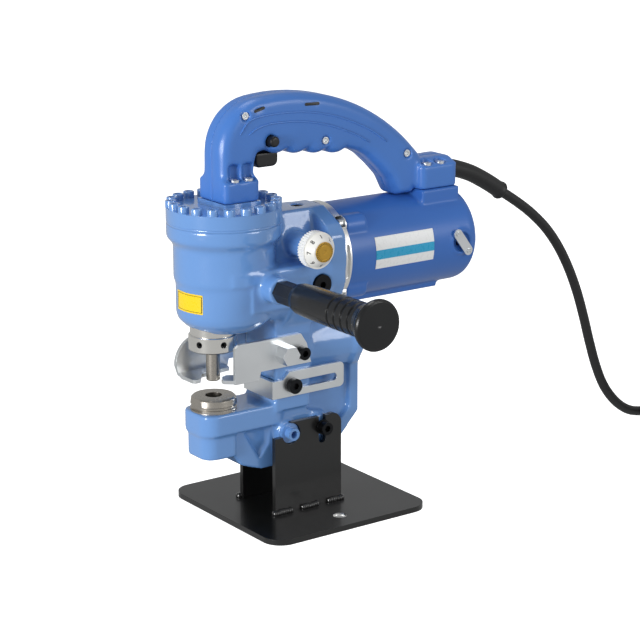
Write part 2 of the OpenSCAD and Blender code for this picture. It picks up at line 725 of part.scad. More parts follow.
module stripper_bolts() {
    color(zinc) both_sides() out_y([bolt_x, -plate_y - sheet_t, bolt_z]) {
        cylinder(d = bolt_af / cos(30), h = bolt_h, $fn = 6);
        translate([0, 0, -sheet_t - screw_bite + 1])
            cylinder(d = bolt_d - 2 * seat_fit, h = sheet_t + screw_bite);
    }
}
module stripper_screws() {
    color(black) both_sides() out_y([cap_x, -plate_y - sheet_t, cap_z])
        cap_screw(cap_d, sheet_t + screw_bite - 1, cap_d, cap_d * 0.6);
}
module back_gauge() {
    slot_x0 = gauge_screw_x;
    slot_x1 = gauge_screw_x + gauge_travel + 20;
    color(zinc) difference() {
        union() {
            xz(-plate_y - sheet_t, -plate_y) union() {
                polygon([[gauge_x0, gauge_z0], [gauge_x1 - 4, gauge_z0], [gauge_x1 - 4, gauge_top],
                    [gauge_step_x, gauge_top], [gauge_step_x - 6, gauge_leg_top],
                        [gauge_x0, gauge_leg_top]]);
                translate([gauge_x1 - 5, gauge_z0 + 4]) square([5, gauge_top - gauge_z0 - 8]);
                for (z = [gauge_z0 + 4, gauge_top - 4]) translate([gauge_x1 - 4, z]) circle(4);
            }
            box([gauge_x0, gauge_x0 + sheet_t], [-plate_y - sheet_t, gauge_leg_y],
                [gauge_z0, gauge_leg_top]);
        }
        out_y([0, -plate_y + 1, 0]) linear_extrude(sheet_t + 2) {
            for (x = [slot_x0, slot_x1]) translate([x, gauge_slot_z]) circle(d = gauge_slot_w);
            translate([slot_x0, gauge_slot_z - gauge_slot_w / 2]) square([slot_x1 - slot_x0, gauge_slot_w]);
        }
    }
}
module gauge_screw() {
    color(black) out_y([gauge_screw_x, -plate_y - sheet_t - 0.1, gauge_slot_z]) difference() {
        union() {
            cylinder(d = gauge_head_d, h = gauge_head_h);
            translate([0, 0, 1.5 - sheet_t - screw_bite])
                cylinder(d = cap_d - 2 * seat_fit, h = sheet_t + screw_bite);
        }
        translate([0, 0, gauge_head_h - 2.6]) cylinder(d = cap_d * 0.95, h = 3, $fn = 6);
    }
}

bump_r = 15;
bump_a = asin(finger_pitch / 2 / bump_r) - 2;
bump_x = -26.9;
bump_z = 287.4;
bump_fall = 1.87;
arch_c = [arch_x, arch_top - arch_r];
bend_c = [foot_x0 + bend_r, arch_c.y + sqrt(pow(arch_r - bend_r, 2) - pow(foot_x0 + bend_r - arch_x, 2))];
bend_a = atan2(bend_c.y - arch_c.y, bend_c.x - arch_c.x);
handle_outline = concat([[foot_x0, foot_z], [foot_x1, foot_z], [-50, 262], [-47, 285], [-45, 290],
    [-39, 291]],
    [for (i = [0 : 3]) each arc([bump_x + i * finger_pitch, bump_z - i * bump_fall + bump_r], bump_r,
        270 - bump_a, 270 + bump_a, 6)],
    [[50, 281], [58, 276.5], [boss_foot_x0 - 34, 266], [boss_foot_x0 - 24.5, 256], [boss_foot_x0 - 17, arm_low],
    [boss_foot_x0 - air_gap, arm_low], [boss_foot_x0 - air_gap, boss_foot_top], [arm_end_x, boss_foot_top]],
    arc(arch_c, arch_r, acos((arm_end_x - arch_x) / arch_r), bend_a, 22),
    arc(bend_c, bend_r, bend_a + 8, 180, 9));
function edge_out(a, b) = unit([b.y - a.y, a.x - b.x]);
// Outline drawn in by d, each point along the mean of its two edges' normals
function drawn_in(p, d) = let (n = len(p)) [for (i = [0 : n - 1])
    p[i] - d * unit(edge_out(p[(i + n - 1) % n], p[i]) + edge_out(p[i], p[(i + 1) % n]) + [1e-6, 0])];
// Layers of a handle half from the split face outwards: how far out each ends, and how far it is drawn in
grip_layers = [[grip_y - 6.4, 0], [grip_y - 4.1, 0.9], [grip_y - 2.1, 2.2], [grip_y - 0.8, 3.8],
    [grip_y, 6]];
switch_y = 7;
module handle_half() {
    foot_y = front_foot_w / 2;
    rear_y = rear_foot_w / 2;
    difference() {
        union() {
            for (layer = grip_layers) xz(-layer[0], 0) polygon(drawn_in(handle_outline, layer[1]));
            translate([0, 0, foot_z]) linear_extrude(foot_low - foot_z) difference() {
                round_rect(foot_x0, foot_x1, -foot_y, foot_y, 4);
                translate([foot_x0 - 1, 0]) square([60, 60]);
            }
            yz(foot_x0 + 0.6, foot_x1 - 0.6) polygon([[0, foot_low - 1], [0.6 - foot_y, foot_low - 1],
                [0.6 - foot_y, foot_low], [-8, foot_top], [0, foot_top]]);
            translate([0, 0, boss_foot_top]) linear_extrude(rear_low - boss_foot_top) difference() {
                round_rect(boss_foot_x0, boss_foot_x1, -rear_y, rear_y, 5);
                translate([boss_foot_x0 - 1, 0]) square([60, 60]);
            }
            yz(boss_foot_x0 + 0.6, boss_foot_x1 - 0.6) polygon([[0, rear_low - 1], [0.6 - rear_y, rear_low - 1],
                [0.6 - rear_y, rear_low], [-10, rear_top], [0, rear_top]]);
        }
        box([-45, 1], [-switch_y - 0.2, 1], [switch_z0 - 0.5, switch_z1 + 0.5]);
        box([trigger_x0 - air_gap, trigger_x1 + air_gap], [-trigger_w / 2 - air_gap, 1], [270, switch_z0]);
        for (p = handle_screw_at) out_y([p.x, 1, p.y]) cylinder(d = handle_screw_d, h = 40);
        for (x = front_screw_x) translate([x, -front_screw_y, 0]) {
            translate([0, 0, foot_z - 1]) cylinder(r = 2, h = 30);
            translate([0, 0, front_head_z]) cylinder(r = head_pocket_r, h = 12.9);
        }
        for (x = rear_screw_x) translate([x, -rear_screw_y, 0]) {
            translate([0, 0, boss_foot_top - 1]) cylinder(r = 2, h = 30);
            translate([0, 0, rear_head_z]) cylinder(r = head_pocket_r, h = 12);
        }
    }
}
module handle_half_near() {
    color(plastic_blue) difference() {
        handle_half();
        for (p = handle_screw_at) out_y([p.x, -grip_y + 2.4, p.y]) cylinder(r = handle_pocket_r, h = 10);
        out_y([button_x, -1, button_z]) cylinder(r = button_r + air_gap, h = 40);
        for (c = [[-45.9, 323.6, 14, 7], [2.2, 323.4, -2, 11]]) out_y([c.x, -grip_y + 2, c.y]) rotate(c.z)
            translate([-c[3] / 2, -0.9, 0]) cube([c[3], 1.8, 9]);
    }
}
module handle_half_far() { color(plastic_blue) mirror([0, 1, 0]) handle_half(); }
module handle_screws() {
    color(zinc) for (p = handle_screw_at) out_y([p.x, -grip_y + 2.4, p.y])
        pan_screw(handle_screw_d, grip_y + 5);
}
module mount_screws() {
    color(zinc) {
        mount_points(front_screw_x, front_screw_y, front_head_z) pan_screw(4, front_head_z - cover_z - 3);
        mount_points(rear_screw_x, rear_screw_y, rear_head_z) pan_screw(4, rear_head_z - boss_foot_top + 8);
    }
}
module switch_body() {
    color(black) box([-44.5, 0.5], [-switch_y, switch_y], [switch_z0, switch_z1]);
}
module trigger() {
    trigger_top = switch_z0 - trigger_travel - 0.3;
    corner_r = 5;
    color(black) xz(-trigger_w / 2, trigger_w / 2) polygon(concat([[trigger_x1, trigger_top],
        [trigger_x0, trigger_top], [trigger_x0, trigger_low + 3], [trigger_x0 + 2, trigger_low]],
        arc([trigger_x1 - corner_r, trigger_low + corner_r], corner_r, 270, 360, 8)));
}
module lock_button() {
    color(black) out_y([button_x, -switch_y - 0.4 - button_travel, button_z]) {
        cylinder(r = button_r, h = grip_y - switch_y + 1.5);
        cylinder(r = button_r - 0.8, h = grip_y - switch_y + 2.3);
    }
}

module motor_shell() {
    ri = motor_r - motor_wall;
    b = bearing_r + seat_fit;
    seat = rear_bearing_x - motor_x;
    end = motor_len - motor_wall;
    along_x([motor_x, 0, motor_z]) rotate_extrude() polygon([[0, end], [b, end], [b, seat], [b + 3, seat],
        [b + 3, end], [ri - 6, end], [ri, end - 6], [ri, 0], [motor_r, 0], [motor_r, motor_len - 8],
        [motor_r - 0.7, motor_len - 4.6], [motor_r - 2.4, motor_len - 2.2], [motor_r - 5, motor_len - 0.6],
        [motor_r - 8, motor_len], [0, motor_len]]);
}
module ear_points() {
    for (i = [0 : 3]) translate([motor_x, 0, motor_z]) rotate([ear_a + 90 * i, 0, 0])
        translate([0, ear_screw_r, 0])
        rotate([0, 90, 0]) children();
}
ear_screw_r = motor_r + 1;
brush_face_y = motor_r + 0.7;
brush_a = -53;
module brush_points() { both_sides() out_y([brush_x, -brush_face_y, motor_z]) rotate(brush_a) children(); }
module motor_housing() {
    ri = motor_r - motor_wall;
    color(plastic_blue) difference() {
        union() {
            motor_shell();
            difference() {
                union() {
                    ear_points() translate([0, -5, 0]) cylinder(r = ear_r + 1, h = ear_len);
                    box([boss_foot_x0, boss_foot_x1], [-rear_foot_w / 2 - 1.5, rear_foot_w / 2 + 1.5],
                        [motor_z + 22, boss_foot_top]);
                    box([motor_x + 4, motor_x + motor_len - 23], [-13, 13],
                        [motor_z - motor_r - 2.5, motor_z - 25]);
                    both_sides() out_y([brush_x, -motor_r + 5, motor_z])
                        cylinder(r = 10, h = brush_face_y - motor_r + 5);
                }
                along_x([motor_x - 1, 0, motor_z]) cylinder(r = ri, h = motor_len - motor_wall - 5);
            }
            both_sides() out_y([brush_x, -comm_r - 3, motor_z])
                cylinder(r = brush_tube_r, h = ri - comm_r - 1);
        }
        ear_points() translate([0, 0, -1]) cylinder(r = 2, h = 15);
        mount_points(rear_screw_x, rear_screw_y, boss_foot_top - 9) cylinder(r = 2, h = 20);
        both_sides() out_y([brush_x, -comm_r - 1, motor_z])
            translate([-brush_w / 2 - 0.1, -brush_w / 2 - 0.1, -4])
            cube([brush_w + 0.2, brush_w + 0.2, 40]);
        both_sides() out_y([brush_x, -ri - 0.5, motor_z]) cylinder(r = 8, h = 20);
        brush_points() for (s = [-1, 1]) translate([s * 9.4, 0, -3]) cylinder(r = 1, h = 6);
        for (i = [-4 : 4]) box([motor_x + motor_len - 5, motor_x + motor_len + 1],
            [-1.2 + 5 * i, 1.2 + 5 * i],
            [motor_z + 16, motor_z + 24]);
    }
}
module motor_adapter() {
    window = 5.2;
    color([0.9, 0.9, 0.9]) difference() {
        union() {
            along_x([face_x, 0, motor_z]) cylinder(r = motor_r + 2, h = adapter_t);
            along_x([motor_x - 1, 0, motor_z]) cylinder(r = bearing_r + 3, h = bearing_w + 1);
            ear_points() translate([0, -2, ear_step - adapter_t])
                cylinder(r = ear_r - 1, h = adapter_t - 2 * ear_step);
        }
        along_x([motor_x - 1, 0, motor_z]) cylinder(r = bearing_r + seat_fit, h = bearing_w + 2);
        along_x([face_x - 1, 0, motor_z]) cylinder(r = gear_module * (pinion_teeth / 2 + 1) + 1, h = 30);
        along_x([face_x - 1, 0, gear_z]) cylinder(r = journal_r + run_fit, h = 5);
        ear_points() translate([0, 0, -adapter_t - 1]) cylinder(r = 2, h = 15);
        ear_points() translate([-window, -4, -adapter_t - 1]) cube([2 * window, 20, adapter_t - 0.5]);
        both_sides() box([face_x + 1.5, face_x + 4.5], [-motor_r - 9, -motor_r + 1],
            [motor_z - 13.5, motor_z + 13]);
    }
}
module adapter_screws() {
    color(zinc) ear_points() translate([0, 0, -1.5]) mirror([0, 0, 1]) cap_screw(4, 14, 4, 2.2);
}
module stator() {
    color(steel) along_x([stator_x0, 0, motor_z])
        ring_solid(motor_r - motor_wall - seat_fit, rotor_r + rotor_gap, stator_len);
}
module rotor_core() {
    color(copper) along_x([stator_x0 - rotor_over, 0, motor_z])
        ring_solid(rotor_r, shaft_r + seat_fit, stator_len + 2 * rotor_over);
}
module commutator() {
    color(copper) along_x([comm_x0, 0, motor_z]) ring_solid(comm_r, shaft_r + seat_fit, comm_len);
}
// Involute tooth flanks with a little backlash
pressure_a = 25;
backlash = 0.16;
function inv(a) = tan(a) * 180 / PI - a;
function half_tooth(n, r) = let (rp = gear_module * n / 2, rb = rp * cos(pressure_a))
    (PI * gear_module / 2 - backlash) / (2 * rp) * 180 / PI + inv(pressure_a)
        - inv(acos(min(1, rb / max(r, rb))));
function gear_outline(n, turn) = let (rp = gear_module * n / 2,
        rs = [for (k = [0 : 4]) rp - gear_module + k * 1.8 * gear_module / 4])
    [for (i = [0 : n - 1]) each concat(
        [for (k = [0 : 4]) let (a = turn + 360 * i / n - half_tooth(n, rs[k])) rs[k] * [cos(a), sin(a)]],
        [for (k = [4 : -1 : 0]) let (a = turn + 360 * i / n + half_tooth(n, rs[k])) rs[k] * [cos(a),
            sin(a)]])];
module rotor_shaft() {
    color(steel) {
        along_x([gear_x + gear_w, 0, motor_z])
            cylinder(r = shaft_r, h = rear_bearing_x + bearing_w - gear_x - gear_w - air_gap);
        yz(gear_x, gear_x + gear_w + 0.5) translate([0, motor_z]) polygon(gear_outline(pinion_teeth, -90));
    }
}
module cooling_fan() {
    color(black) difference() {
        along_x([fan_x0, 0, motor_z]) {
            cylinder(r = 10, h = fan_len);
            cylinder(r = fan_r, h = 2);
            for (i = [0 : 10]) rotate(360 * i / 11) translate([8, -0.8, 1])
                cube([fan_r - 9, 1.6, fan_len - 1]);
        }
        along_x([fan_x0 - 1, 0, motor_z]) cylinder(r = shaft_r + seat_fit, h = fan_len + 2);
    }
}
module shaft_bearings() {
    color(steel) for (x = [motor_x - 1, rear_bearing_x]) along_x([x, 0, motor_z])
        ring_solid(bearing_r, shaft_r + run_fit, bearing_w);
}
module carbon_brushes() {
    color(black) both_sides() out_y([brush_x, -comm_r - 0.2, motor_z])
        translate([-brush_w / 2, -brush_w / 2, 0])
        cube([brush_w, brush_w, 20]);
}
module brush_covers() {
    color(zinc) brush_points() linear_extrude(1.4) difference() {
        round_rect(-13, 13, -4, 4, 3.9);
        for (s = [-1, 1]) translate([s * 9.4, 0]) circle(r = 1.2);
    }
}
module brush_cover_screws() {
    color(zinc) brush_points() for (s = [-1, 1]) translate([s * 9.4, 0, 1.4]) pan_screw(2, 4);
}
module drive_gear() {
    color(steel) yz(gear_x, gear_x + gear_w) translate([0, gear_z]) difference() {
        polygon(gear_outline(gear_teeth, 90 + 180 / gear_teeth));
        circle(r = journal_r + seat_fit);
    }
}
module eccentric_shaft() {
    color(steel) {
        along_x([gear_room_x0 - 11.5, 0, gear_z])
            cylinder(r = journal_r, h = face_x + 3.5 - gear_room_x0 + 11.5);
        along_x([cam_x, 0, gear_z + pump_throw]) cylinder(r = cam_r, h = cam_w);
    }
}
module pump_block() {
    low = gear_z + 14;
    color(steel) difference() {
        box([block_x - cam_w / 2 + seat_fit, block_x + cam_w / 2 - seat_fit],
            [-block_w / 2 + seat_fit, block_w / 2 - seat_fit],
            [low, block_top]);
        translate([block_x, 0, low - 1])
            cylinder(r = plunger_r + run_fit, h = plunger_z + plunger_len + 4 - low);
        along_x([block_x - cam_w, 0, block_top - 4]) cylinder(r = 2, h = cam_w);
        translate([block_x, 0, plunger_z]) cylinder(r = 1.5, h = block_top - 4 - plunger_z);
    }
}
module pump_plunger() {
    color(steel) translate([block_x, 0, plunger_z]) cylinder(r = plunger_r, h = plunger_len);
}
module socket_plug(r, len, socket_r) {
    difference() {
        cylinder(r = r - seat_fit, h = len);
        translate([0, 0, len / 2]) cylinder(r = socket_r, h = len, $fn = 6);
    }
}
module filler_plug() {
    color(black) translate([filler_x, 0, house_top - filler_len])
        socket_plug(filler_r, filler_len - 1, filler_r * 0.55);
}
module relief_plug() {
    color(black) out_y([plug_x, -house_w / 2 - 2 + plug_len, plug_z])
        socket_plug(plug_r, plug_len + 1, plug_r * 0.36);
}
module valve_stem() {
    color(steel) out_y([dial_x, -15, dial_z]) cylinder(r = stem_r, h = -dial_boss_y - 15 + dial_h);
}
module dial_knob() {
    dial_r = dial_d / 2;
    knurl_n = 40;
    color([0.93, 0.93, 0.9]) out_y([dial_x, dial_boss_y - air_gap, dial_z]) difference() {
        union() {
            cylinder(r = dial_r, h = dial_h);
            translate([0, 0, dial_h]) cylinder(r1 = dial_r - 1, r2 = dial_r - 5.8, h = dial_cone_h);
            translate([0, 0, dial_h]) cylinder(r = dial_r - 6.5, h = dial_cone_h + 0.8);
        }
        translate([0, 0, -1]) cylinder(r = stem_r + seat_fit, h = dial_h + 0.7);
        for (i = [0 : knurl_n - 1]) rotate(360 * i / knurl_n) translate([dial_r, 0, -1]) rotate(45)
            translate([-0.55, -0.55, 0]) cube([1.1, 1.1, dial_h - 0.5]);
    }
}
module side_handle_stud() {
    color(black) out_y([side_x, -side_boss_y, side_z]) {
        cylinder(d = neck_af / cos(30), h = neck_len, $fn = 6);
        translate([0, 0, 0.5 - side_thread_len])
            cylinder(r = side_thread_r - seat_fit, h = side_thread_len);
        translate([0, 0, neck_len - 1]) cylinder(r = side_thread_r, h = side_grip_len - 20);
    }
}
module side_grip() {
    r = side_grip_d / 2;
    groove_pitch = 8.2;
    len = side_grip_len;
    grooves = [for (i = [0 : 3]) let (h = len * 0.53 + i * groove_pitch)
        each [[r + 0.4, h - 1.2], [r - 0.7, h - 0.6], [r - 0.7, h + 0.6], [r + 0.4, h + 1.2]]];
    color(black) out_y([side_x, -side_boss_y - neck_len, side_z]) difference() {
        rotate_extrude() polygon(concat([[0, 0], [r - 3.5, 0], [r - 1.6, 1.6], [r - 0.6, 6], [r - 0.2, 16]],
            grooves, [[r + 0.4, len - 17], [r + 1.4, len - 12.5], [r + 3.6, len - 8.6], [r + 5.7, len - 6.4],
            [r + 6.5, len - 4.6], [r + 6.5, len - 3], [r + 5.9, len - 1.6], [r + 4.6, len - 0.9], [0, len]]));
        translate([0, 0, -1]) cylinder(r = side_thread_r + seat_fit, h = side_grip_len - 19);
    }
}

module cord_sleeve() {
    bead = [for (i = [0 : len(sleeve_path) - 1]) i == len(sleeve_path) - 1 ? sleeve_r + 0.5 : sleeve_r];
    color(black) tube(sleeve_path, bead, 12, [0, 1, 0]);
}
module cord_lead() { color(black) tube(lead_path, cord_d / 2, 10, [0, 1, 0]); }
// Loops spiral in on the floor, climb where the spiral turns back, and spiral out on top
function coil_r(t) = coil_out_r - coil_pitch * min(t, coil_turns - t);
function eased(u) = let (c = min(1, max(0, u))) c * c * (3 - 2 * c);
function coil_z(t) = coil_low_z + coil_pitch * eased((t - coil_turns / 2) * 2 + 0.5);
coil_c = [coil_x + cord_d, -coil_out_r];
coil_loops = [for (i = [0 : coil_turns * coil_rings]) let (t = i / coil_rings, a = 90 - 360 * t)
    [coil_c.x + coil_r(t) * cos(a), coil_c.y + coil_r(t) * sin(a), coil_z(t)]];
coil_end = coil_loops[len(coil_loops) - 1];
coil_path = concat([[coil_x, 0, coil_low_z]], coil_loops, [coil_end - [coil_tail - cord_d, 0, 0],
    coil_end - [coil_tail, 0, 0]]);
module cord_coil() {
    echo(cord_coil_gap = winding_gap(coil_loops, coil_rings / 2, cord_d));
    color(black) tube(coil_path, cord_d / 2, 6, [0, 0, 1]);
}
module plug_place() { translate(coil_end - [coil_tail, 0, 0]) rotate([0, -90, 0]) children(); }
module cord_plug() {
    r = plug_body_r;
    end = plug_neck_len + plug_body_len;
    color(black) plug_place() difference() {
        rotate_extrude() polygon([[0, 0], [cord_d / 2 + 1.5, 0], [cord_d / 2 + 2.5, plug_neck_len],
            [r - 3, plug_neck_len + 4], [r - 0.5, plug_neck_len + 10], [r - 0.5, end - 3], [r - 1.5, end],
            [0, end]]);
        blades(seat_fit, 10);
    }
}
module blades(fit, root) {
    for (s = [-1, 1]) translate([-blade_w / 2 - fit, s * blade_gap / 2 - blade_t / 2 - fit,
        plug_neck_len + plug_body_len - root]) cube([blade_w + 2 * fit, blade_t + 2 * fit,
            root + blade_len]);
}
module plug_blades() { color(bronze) plug_place() blades(0, 9.9); }

stand_plate();
stand_upright_near();
stand_upright_far();
stand_hook_bolts();
stand_screws();
frame_casting();
pump_casting();
cylinder_cover();
cover_gasket();
cover_screws();
rod_bush();
rod_seal();
piston_ram();
piston_seal();
return_spring();
punch_holder();
holder_set_screws();
punch();
die();
die_lock_screw();
stripper_near();
stripper_far();
stripper_bolts();
stripper_screws();
back_gauge();
gauge_screw();
handle_half_near();
handle_half_far();
handle_screws();
mount_screws();
switch_body();
trigger();
lock_button();
cord_sleeve();
motor_housing();
motor_adapter();
adapter_screws();
stator();
rotor_core();
commutator();
rotor_shaft();
cooling_fan();
shaft_bearings();
carbon_brushes();
brush_covers();
brush_cover_screws();
drive_gear();
eccentric_shaft();
pump_block();
pump_plunger();
filler_plug();
relief_plug();
valve_stem();
dial_knob();
side_grip();
side_handle_stud();
cord_lead();
cord_coil();
cord_plug();
plug_blades();
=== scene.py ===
import math

import bmesh
import bpy
import numpy as np
from mathutils import Matrix, Vector
from mathutils.bvhtree import BVHTree


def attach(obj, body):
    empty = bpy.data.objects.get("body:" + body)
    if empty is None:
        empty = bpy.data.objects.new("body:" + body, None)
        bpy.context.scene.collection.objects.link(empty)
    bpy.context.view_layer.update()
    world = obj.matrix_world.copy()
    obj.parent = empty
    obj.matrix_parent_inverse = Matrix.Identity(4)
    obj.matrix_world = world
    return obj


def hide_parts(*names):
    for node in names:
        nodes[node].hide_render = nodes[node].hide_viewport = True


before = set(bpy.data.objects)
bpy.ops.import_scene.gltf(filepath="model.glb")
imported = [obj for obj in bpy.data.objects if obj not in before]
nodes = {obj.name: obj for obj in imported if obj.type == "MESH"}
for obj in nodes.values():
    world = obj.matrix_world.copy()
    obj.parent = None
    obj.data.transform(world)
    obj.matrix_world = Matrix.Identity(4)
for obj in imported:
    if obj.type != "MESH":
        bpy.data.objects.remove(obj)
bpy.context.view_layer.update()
mm = 0.001

# the camera stands where the photograph was taken from
camera = {"lens": 115.0, "sensor": 36, "clip": (0.05, 30), "place": (-0.89067, -1.26760, 0.57209),
          "azimuth": 35.702, "elevation": 15.217}


def addCamera(c):
    a, e = math.radians(c["azimuth"]), math.radians(c["elevation"])
    back = Vector((-math.sin(a) * math.cos(e), -math.cos(a) * math.cos(e), math.sin(e)))
    data = bpy.data.cameras.new("productCamera")
    data.lens, data.sensor_width = c["lens"], c["sensor"]
    data.clip_start, data.clip_end = c["clip"]
    obj = bpy.data.objects.new("productCamera", data)
    obj.location = c["place"]
    obj.rotation_euler = back.to_track_quat("Z", "Y").to_euler()
    bpy.context.scene.collection.objects.link(obj)
    bpy.context.scene.camera = obj


# soft boxes: place, what they point at, size across, watts
lights = {
    "key": ((-1.75, -0.35, 0.42), (-0.03, 0, 0.17), 0.7, 24),
    "fill": ((0.9, -1.7, 0.8), (0, 0, 0.18), 0.9, 9),
    "top": ((0.1, 0.3, 1.6), (0, 0, 0.2), 0.7, 4),
}
studio = {"overhead": 0.34, "level": 0.52, "below": 0.44, "floor": 0.92, "floorGlow": 0.9,
          "tint": (0.985, 0.995, 1.0), "floorSpan": 12, "floorDrift": 0.01}


def addLight(name, place, target, size, power):
    data = bpy.data.lights.new(name, "AREA")
    data.shape, data.size, data.energy = "DISK", size, power
    obj = bpy.data.objects.new(name, data)
    obj.location = place
    obj.rotation_euler = (Vector(place) - Vector(target)).to_track_quat("Z", "Y").to_euler()
    bpy.context.scene.collection.objects.link(obj)


addCamera(camera)
for lightName, (place, target, size, power) in lights.items():
    addLight(lightName, place, target, size, power)


def addWorld(c):  # pale overhead, darker towards the ground
    world = bpy.data.worlds.new("studio")
    world.use_nodes = True
    tree = world.node_tree
    height = tree.nodes.new("ShaderNodeSeparateXYZ")
    tree.links.new(tree.nodes.new("ShaderNodeTexCoord").outputs["Generated"], height.inputs[0])
    fade = tree.nodes.new("ShaderNodeMapRange")
    fade.inputs["From Min"].default_value, fade.inputs["From Max"].default_value = -1, 1
    tree.links.new(height.outputs["Z"], fade.inputs["Value"])
    ramp = tree.nodes.new("ShaderNodeValToRGB")
    ramp.color_ramp.elements.new(0.5)
    for stop, level in zip(ramp.color_ramp.elements, (c["below"], c["level"], c["overhead"])):
        stop.color = tuple(level * part for part in c["tint"]) + (1,)
    tree.links.new(fade.outputs["Result"], ramp.inputs["Fac"])
    tree.links.new(ramp.outputs["Color"], tree.nodes["Background"].inputs["Color"])
    bpy.context.scene.world = world


addWorld(studio)
bpy.context.scene.view_settings.view_transform = "Standard"  # paint colours come out as mixed
print("camera and lights placed")


class Wire:  # a socket that takes part in plain arithmetic
    def __init__(self, finish, socket):
        self.finish, self.socket = finish, socket

    def combine(self, operation, first, second):
        return self.finish.add("ShaderNodeMath", {"operation": operation}, {0: first, 1: second})

    def __add__(self, other):
        return self.combine("ADD", self, other)

    def __sub__(self, other):
        return self.combine("SUBTRACT", self, other)

    def __rsub__(self, other):
        return self.combine("SUBTRACT", other, self)

    def __mul__(self, other):
        return self.combine("MULTIPLY", self, other)

    __radd__, __rmul__ = __add__, __mul__


class Finish:
    def __init__(self, name):
        self.material = bpy.data.materials.new(name)
        self.material.use_nodes = True
        self.tree = self.material.node_tree
        self.shader = self.tree.nodes["Principled BSDF"]
        self.place = self.add("ShaderNodeTexCoord", {}, {}, "Object")

    def add(self, kind, settings, inputs, output=0):
        node = self.tree.nodes.new(kind)
        for key, value in settings.items():
            setattr(node, key, value)
        for key, value in inputs.items():
            self.feed(node.inputs[key], value)
        return Wire(self, node.outputs[output])

    def feed(self, socket, value):
        if isinstance(value, Wire):
            self.tree.links.new(value.socket, socket)
        else:
            socket.default_value = value

    def surface(self, **inputs):
        for key, value in inputs.items():
            self.feed(self.shader.inputs[key.replace("_", " ")], value)

    def grain(self, scale, detail=3.0, stretch=None):
        place = self.place
        if stretch:
            place = self.add("ShaderNodeMapping", {}, {"Vector": place, "Scale": stretch})
        return self.add("ShaderNodeTexNoise", {}, {"Vector": place, "Scale": scale, "Detail": detail})

    def blend(self, share, first, second):
        return self.add("ShaderNodeMix", {"data_type": "RGBA"}, {0: share, 6: first, 7: second}, 2)

    def ramp(self, value, low, high):  # 0 below low, 1 above high
        return self.add("ShaderNodeMapRange", {"interpolation_type": "SMOOTHSTEP"},
                        {"Value": value, "From Min": low, "From Max": high})

    def relief(self, height, distance, edge=0.0):
        inputs = {"Strength": 1.0, "Distance": distance, "Height": height}
        if edge:
            inputs["Normal"] = self.add("ShaderNodeBevel", {"samples": 4}, {"Radius": edge})
        self.surface(Normal=self.add("ShaderNodeBump", {}, inputs))


def tone(code, gain=1.0):  # screen colour to the renderer's linear light
    parts = [int(code[i:i + 2], 16) / 255 for i in (0, 2, 4)]
    parts = [p / 12.92 if p < 0.04045 else ((p + 0.055) / 1.055) ** 2.4 for p in parts]
    return tuple(p * gain for p in parts) + (1.0,)


# how far each kind of finish wanders: size of its patches, darkest and lightest share, change in roughness
paintDrift = {"scale": 18, "dark": 0.94, "light": 1.06, "rough": 0.10, "coatRough": 0.06}
metalDrift = {"scale": 45, "light": 1.04, "rough": 0.06, "brushScale": 900}
mouldDrift = {"scale": 25, "dark": 0.94, "light": 1.06, "rough": 0.12}
printDrift = {"scale": 400, "base": 0.28, "rough": 0.10, "depth": 0.004 * mm, "blur": 0.01, "core": 0.6}


def painted(name, color, rough, peelSize, peelDepth, coat, edge=0.0):
    f, c = Finish(name), paintDrift
    drift = f.grain(c["scale"], 2)
    peel = f.grain(1 / peelSize, 2)
    f.surface(Base_Color=f.blend(drift, tone(color, c["dark"]), tone(color, c["light"])),
              Roughness=rough + c["rough"] * (drift - 0.5), Coat_Weight=coat, Coat_Roughness=c["coatRough"])
    f.relief(peel, peelDepth, edge)
    return f.material


def metal(name, color, rough, stretch, lines=0.06, depth=0.002 * mm, edge=0.3 * mm, lowTone=0.92):
    f, c = Finish(name), metalDrift
    brush = f.grain(c["brushScale"], 4, stretch)
    patch = f.grain(c["scale"], 3)
    f.surface(Base_Color=f.blend(patch, tone(color, lowTone), tone(color, c["light"])), Metallic=1.0,
              Roughness=rough + lines * (brush - 0.5) + c["rough"] * (patch - 0.5))
    f.relief(brush, depth, edge)
    return f.material


def moulded(name, color, rough, speckSize, speckDepth, edge=0.5 * mm):
    f, c = Finish(name), mouldDrift
    speckle = f.grain(1 / speckSize, 3)
    cloud = f.grain(c["scale"], 2)
    f.surface(Base_Color=f.blend(cloud, tone(color, c["dark"]), tone(color, c["light"])),
              Roughness=rough + c["rough"] * (speckle - 0.5))
    f.relief(speckle, speckDepth, edge)
    return f.material


def printed(name, ground, ink, bands, border):  # label film with its print placed by the label's own map
    f, c, mask = Finish(name), printDrift, 0.0
    across, up = (f.add("ShaderNodeSeparateXYZ", {}, {0: f.add("ShaderNodeUVMap", {"uv_map": "label"}, {})}, axis)
                  for axis in (0, 1))
    for low, high in bands:
        mask = mask + (f.ramp(up, low - c["blur"], low + c["blur"])
                       * (1 - f.ramp(up, high - c["blur"], high + c["blur"])))
    if border:
        (u0, v0), wide = border["inset"], border["width"]
        core = c["core"] * wide
        for a, inset in ((across, u0), (up, v0)):
            other, low = (up, v0) if a is across else (across, u0)
            within = f.ramp(other, low - c["blur"], low) * (1 - f.ramp(other, 1 - low, 1 + c["blur"] - low))
            for at in (inset, 1 - inset):
                mask = mask + within * f.ramp(a, at - wide, at - core) * (1 - f.ramp(a, at + core, at + wide))
    fibre = f.grain(c["scale"], 2)
    f.surface(Base_Color=f.blend(mask, tone(ground), tone(ink)), Roughness=c["base"] + c["rough"] * (fibre - 0.5))
    f.relief(fibre, c["depth"])
    return f.material


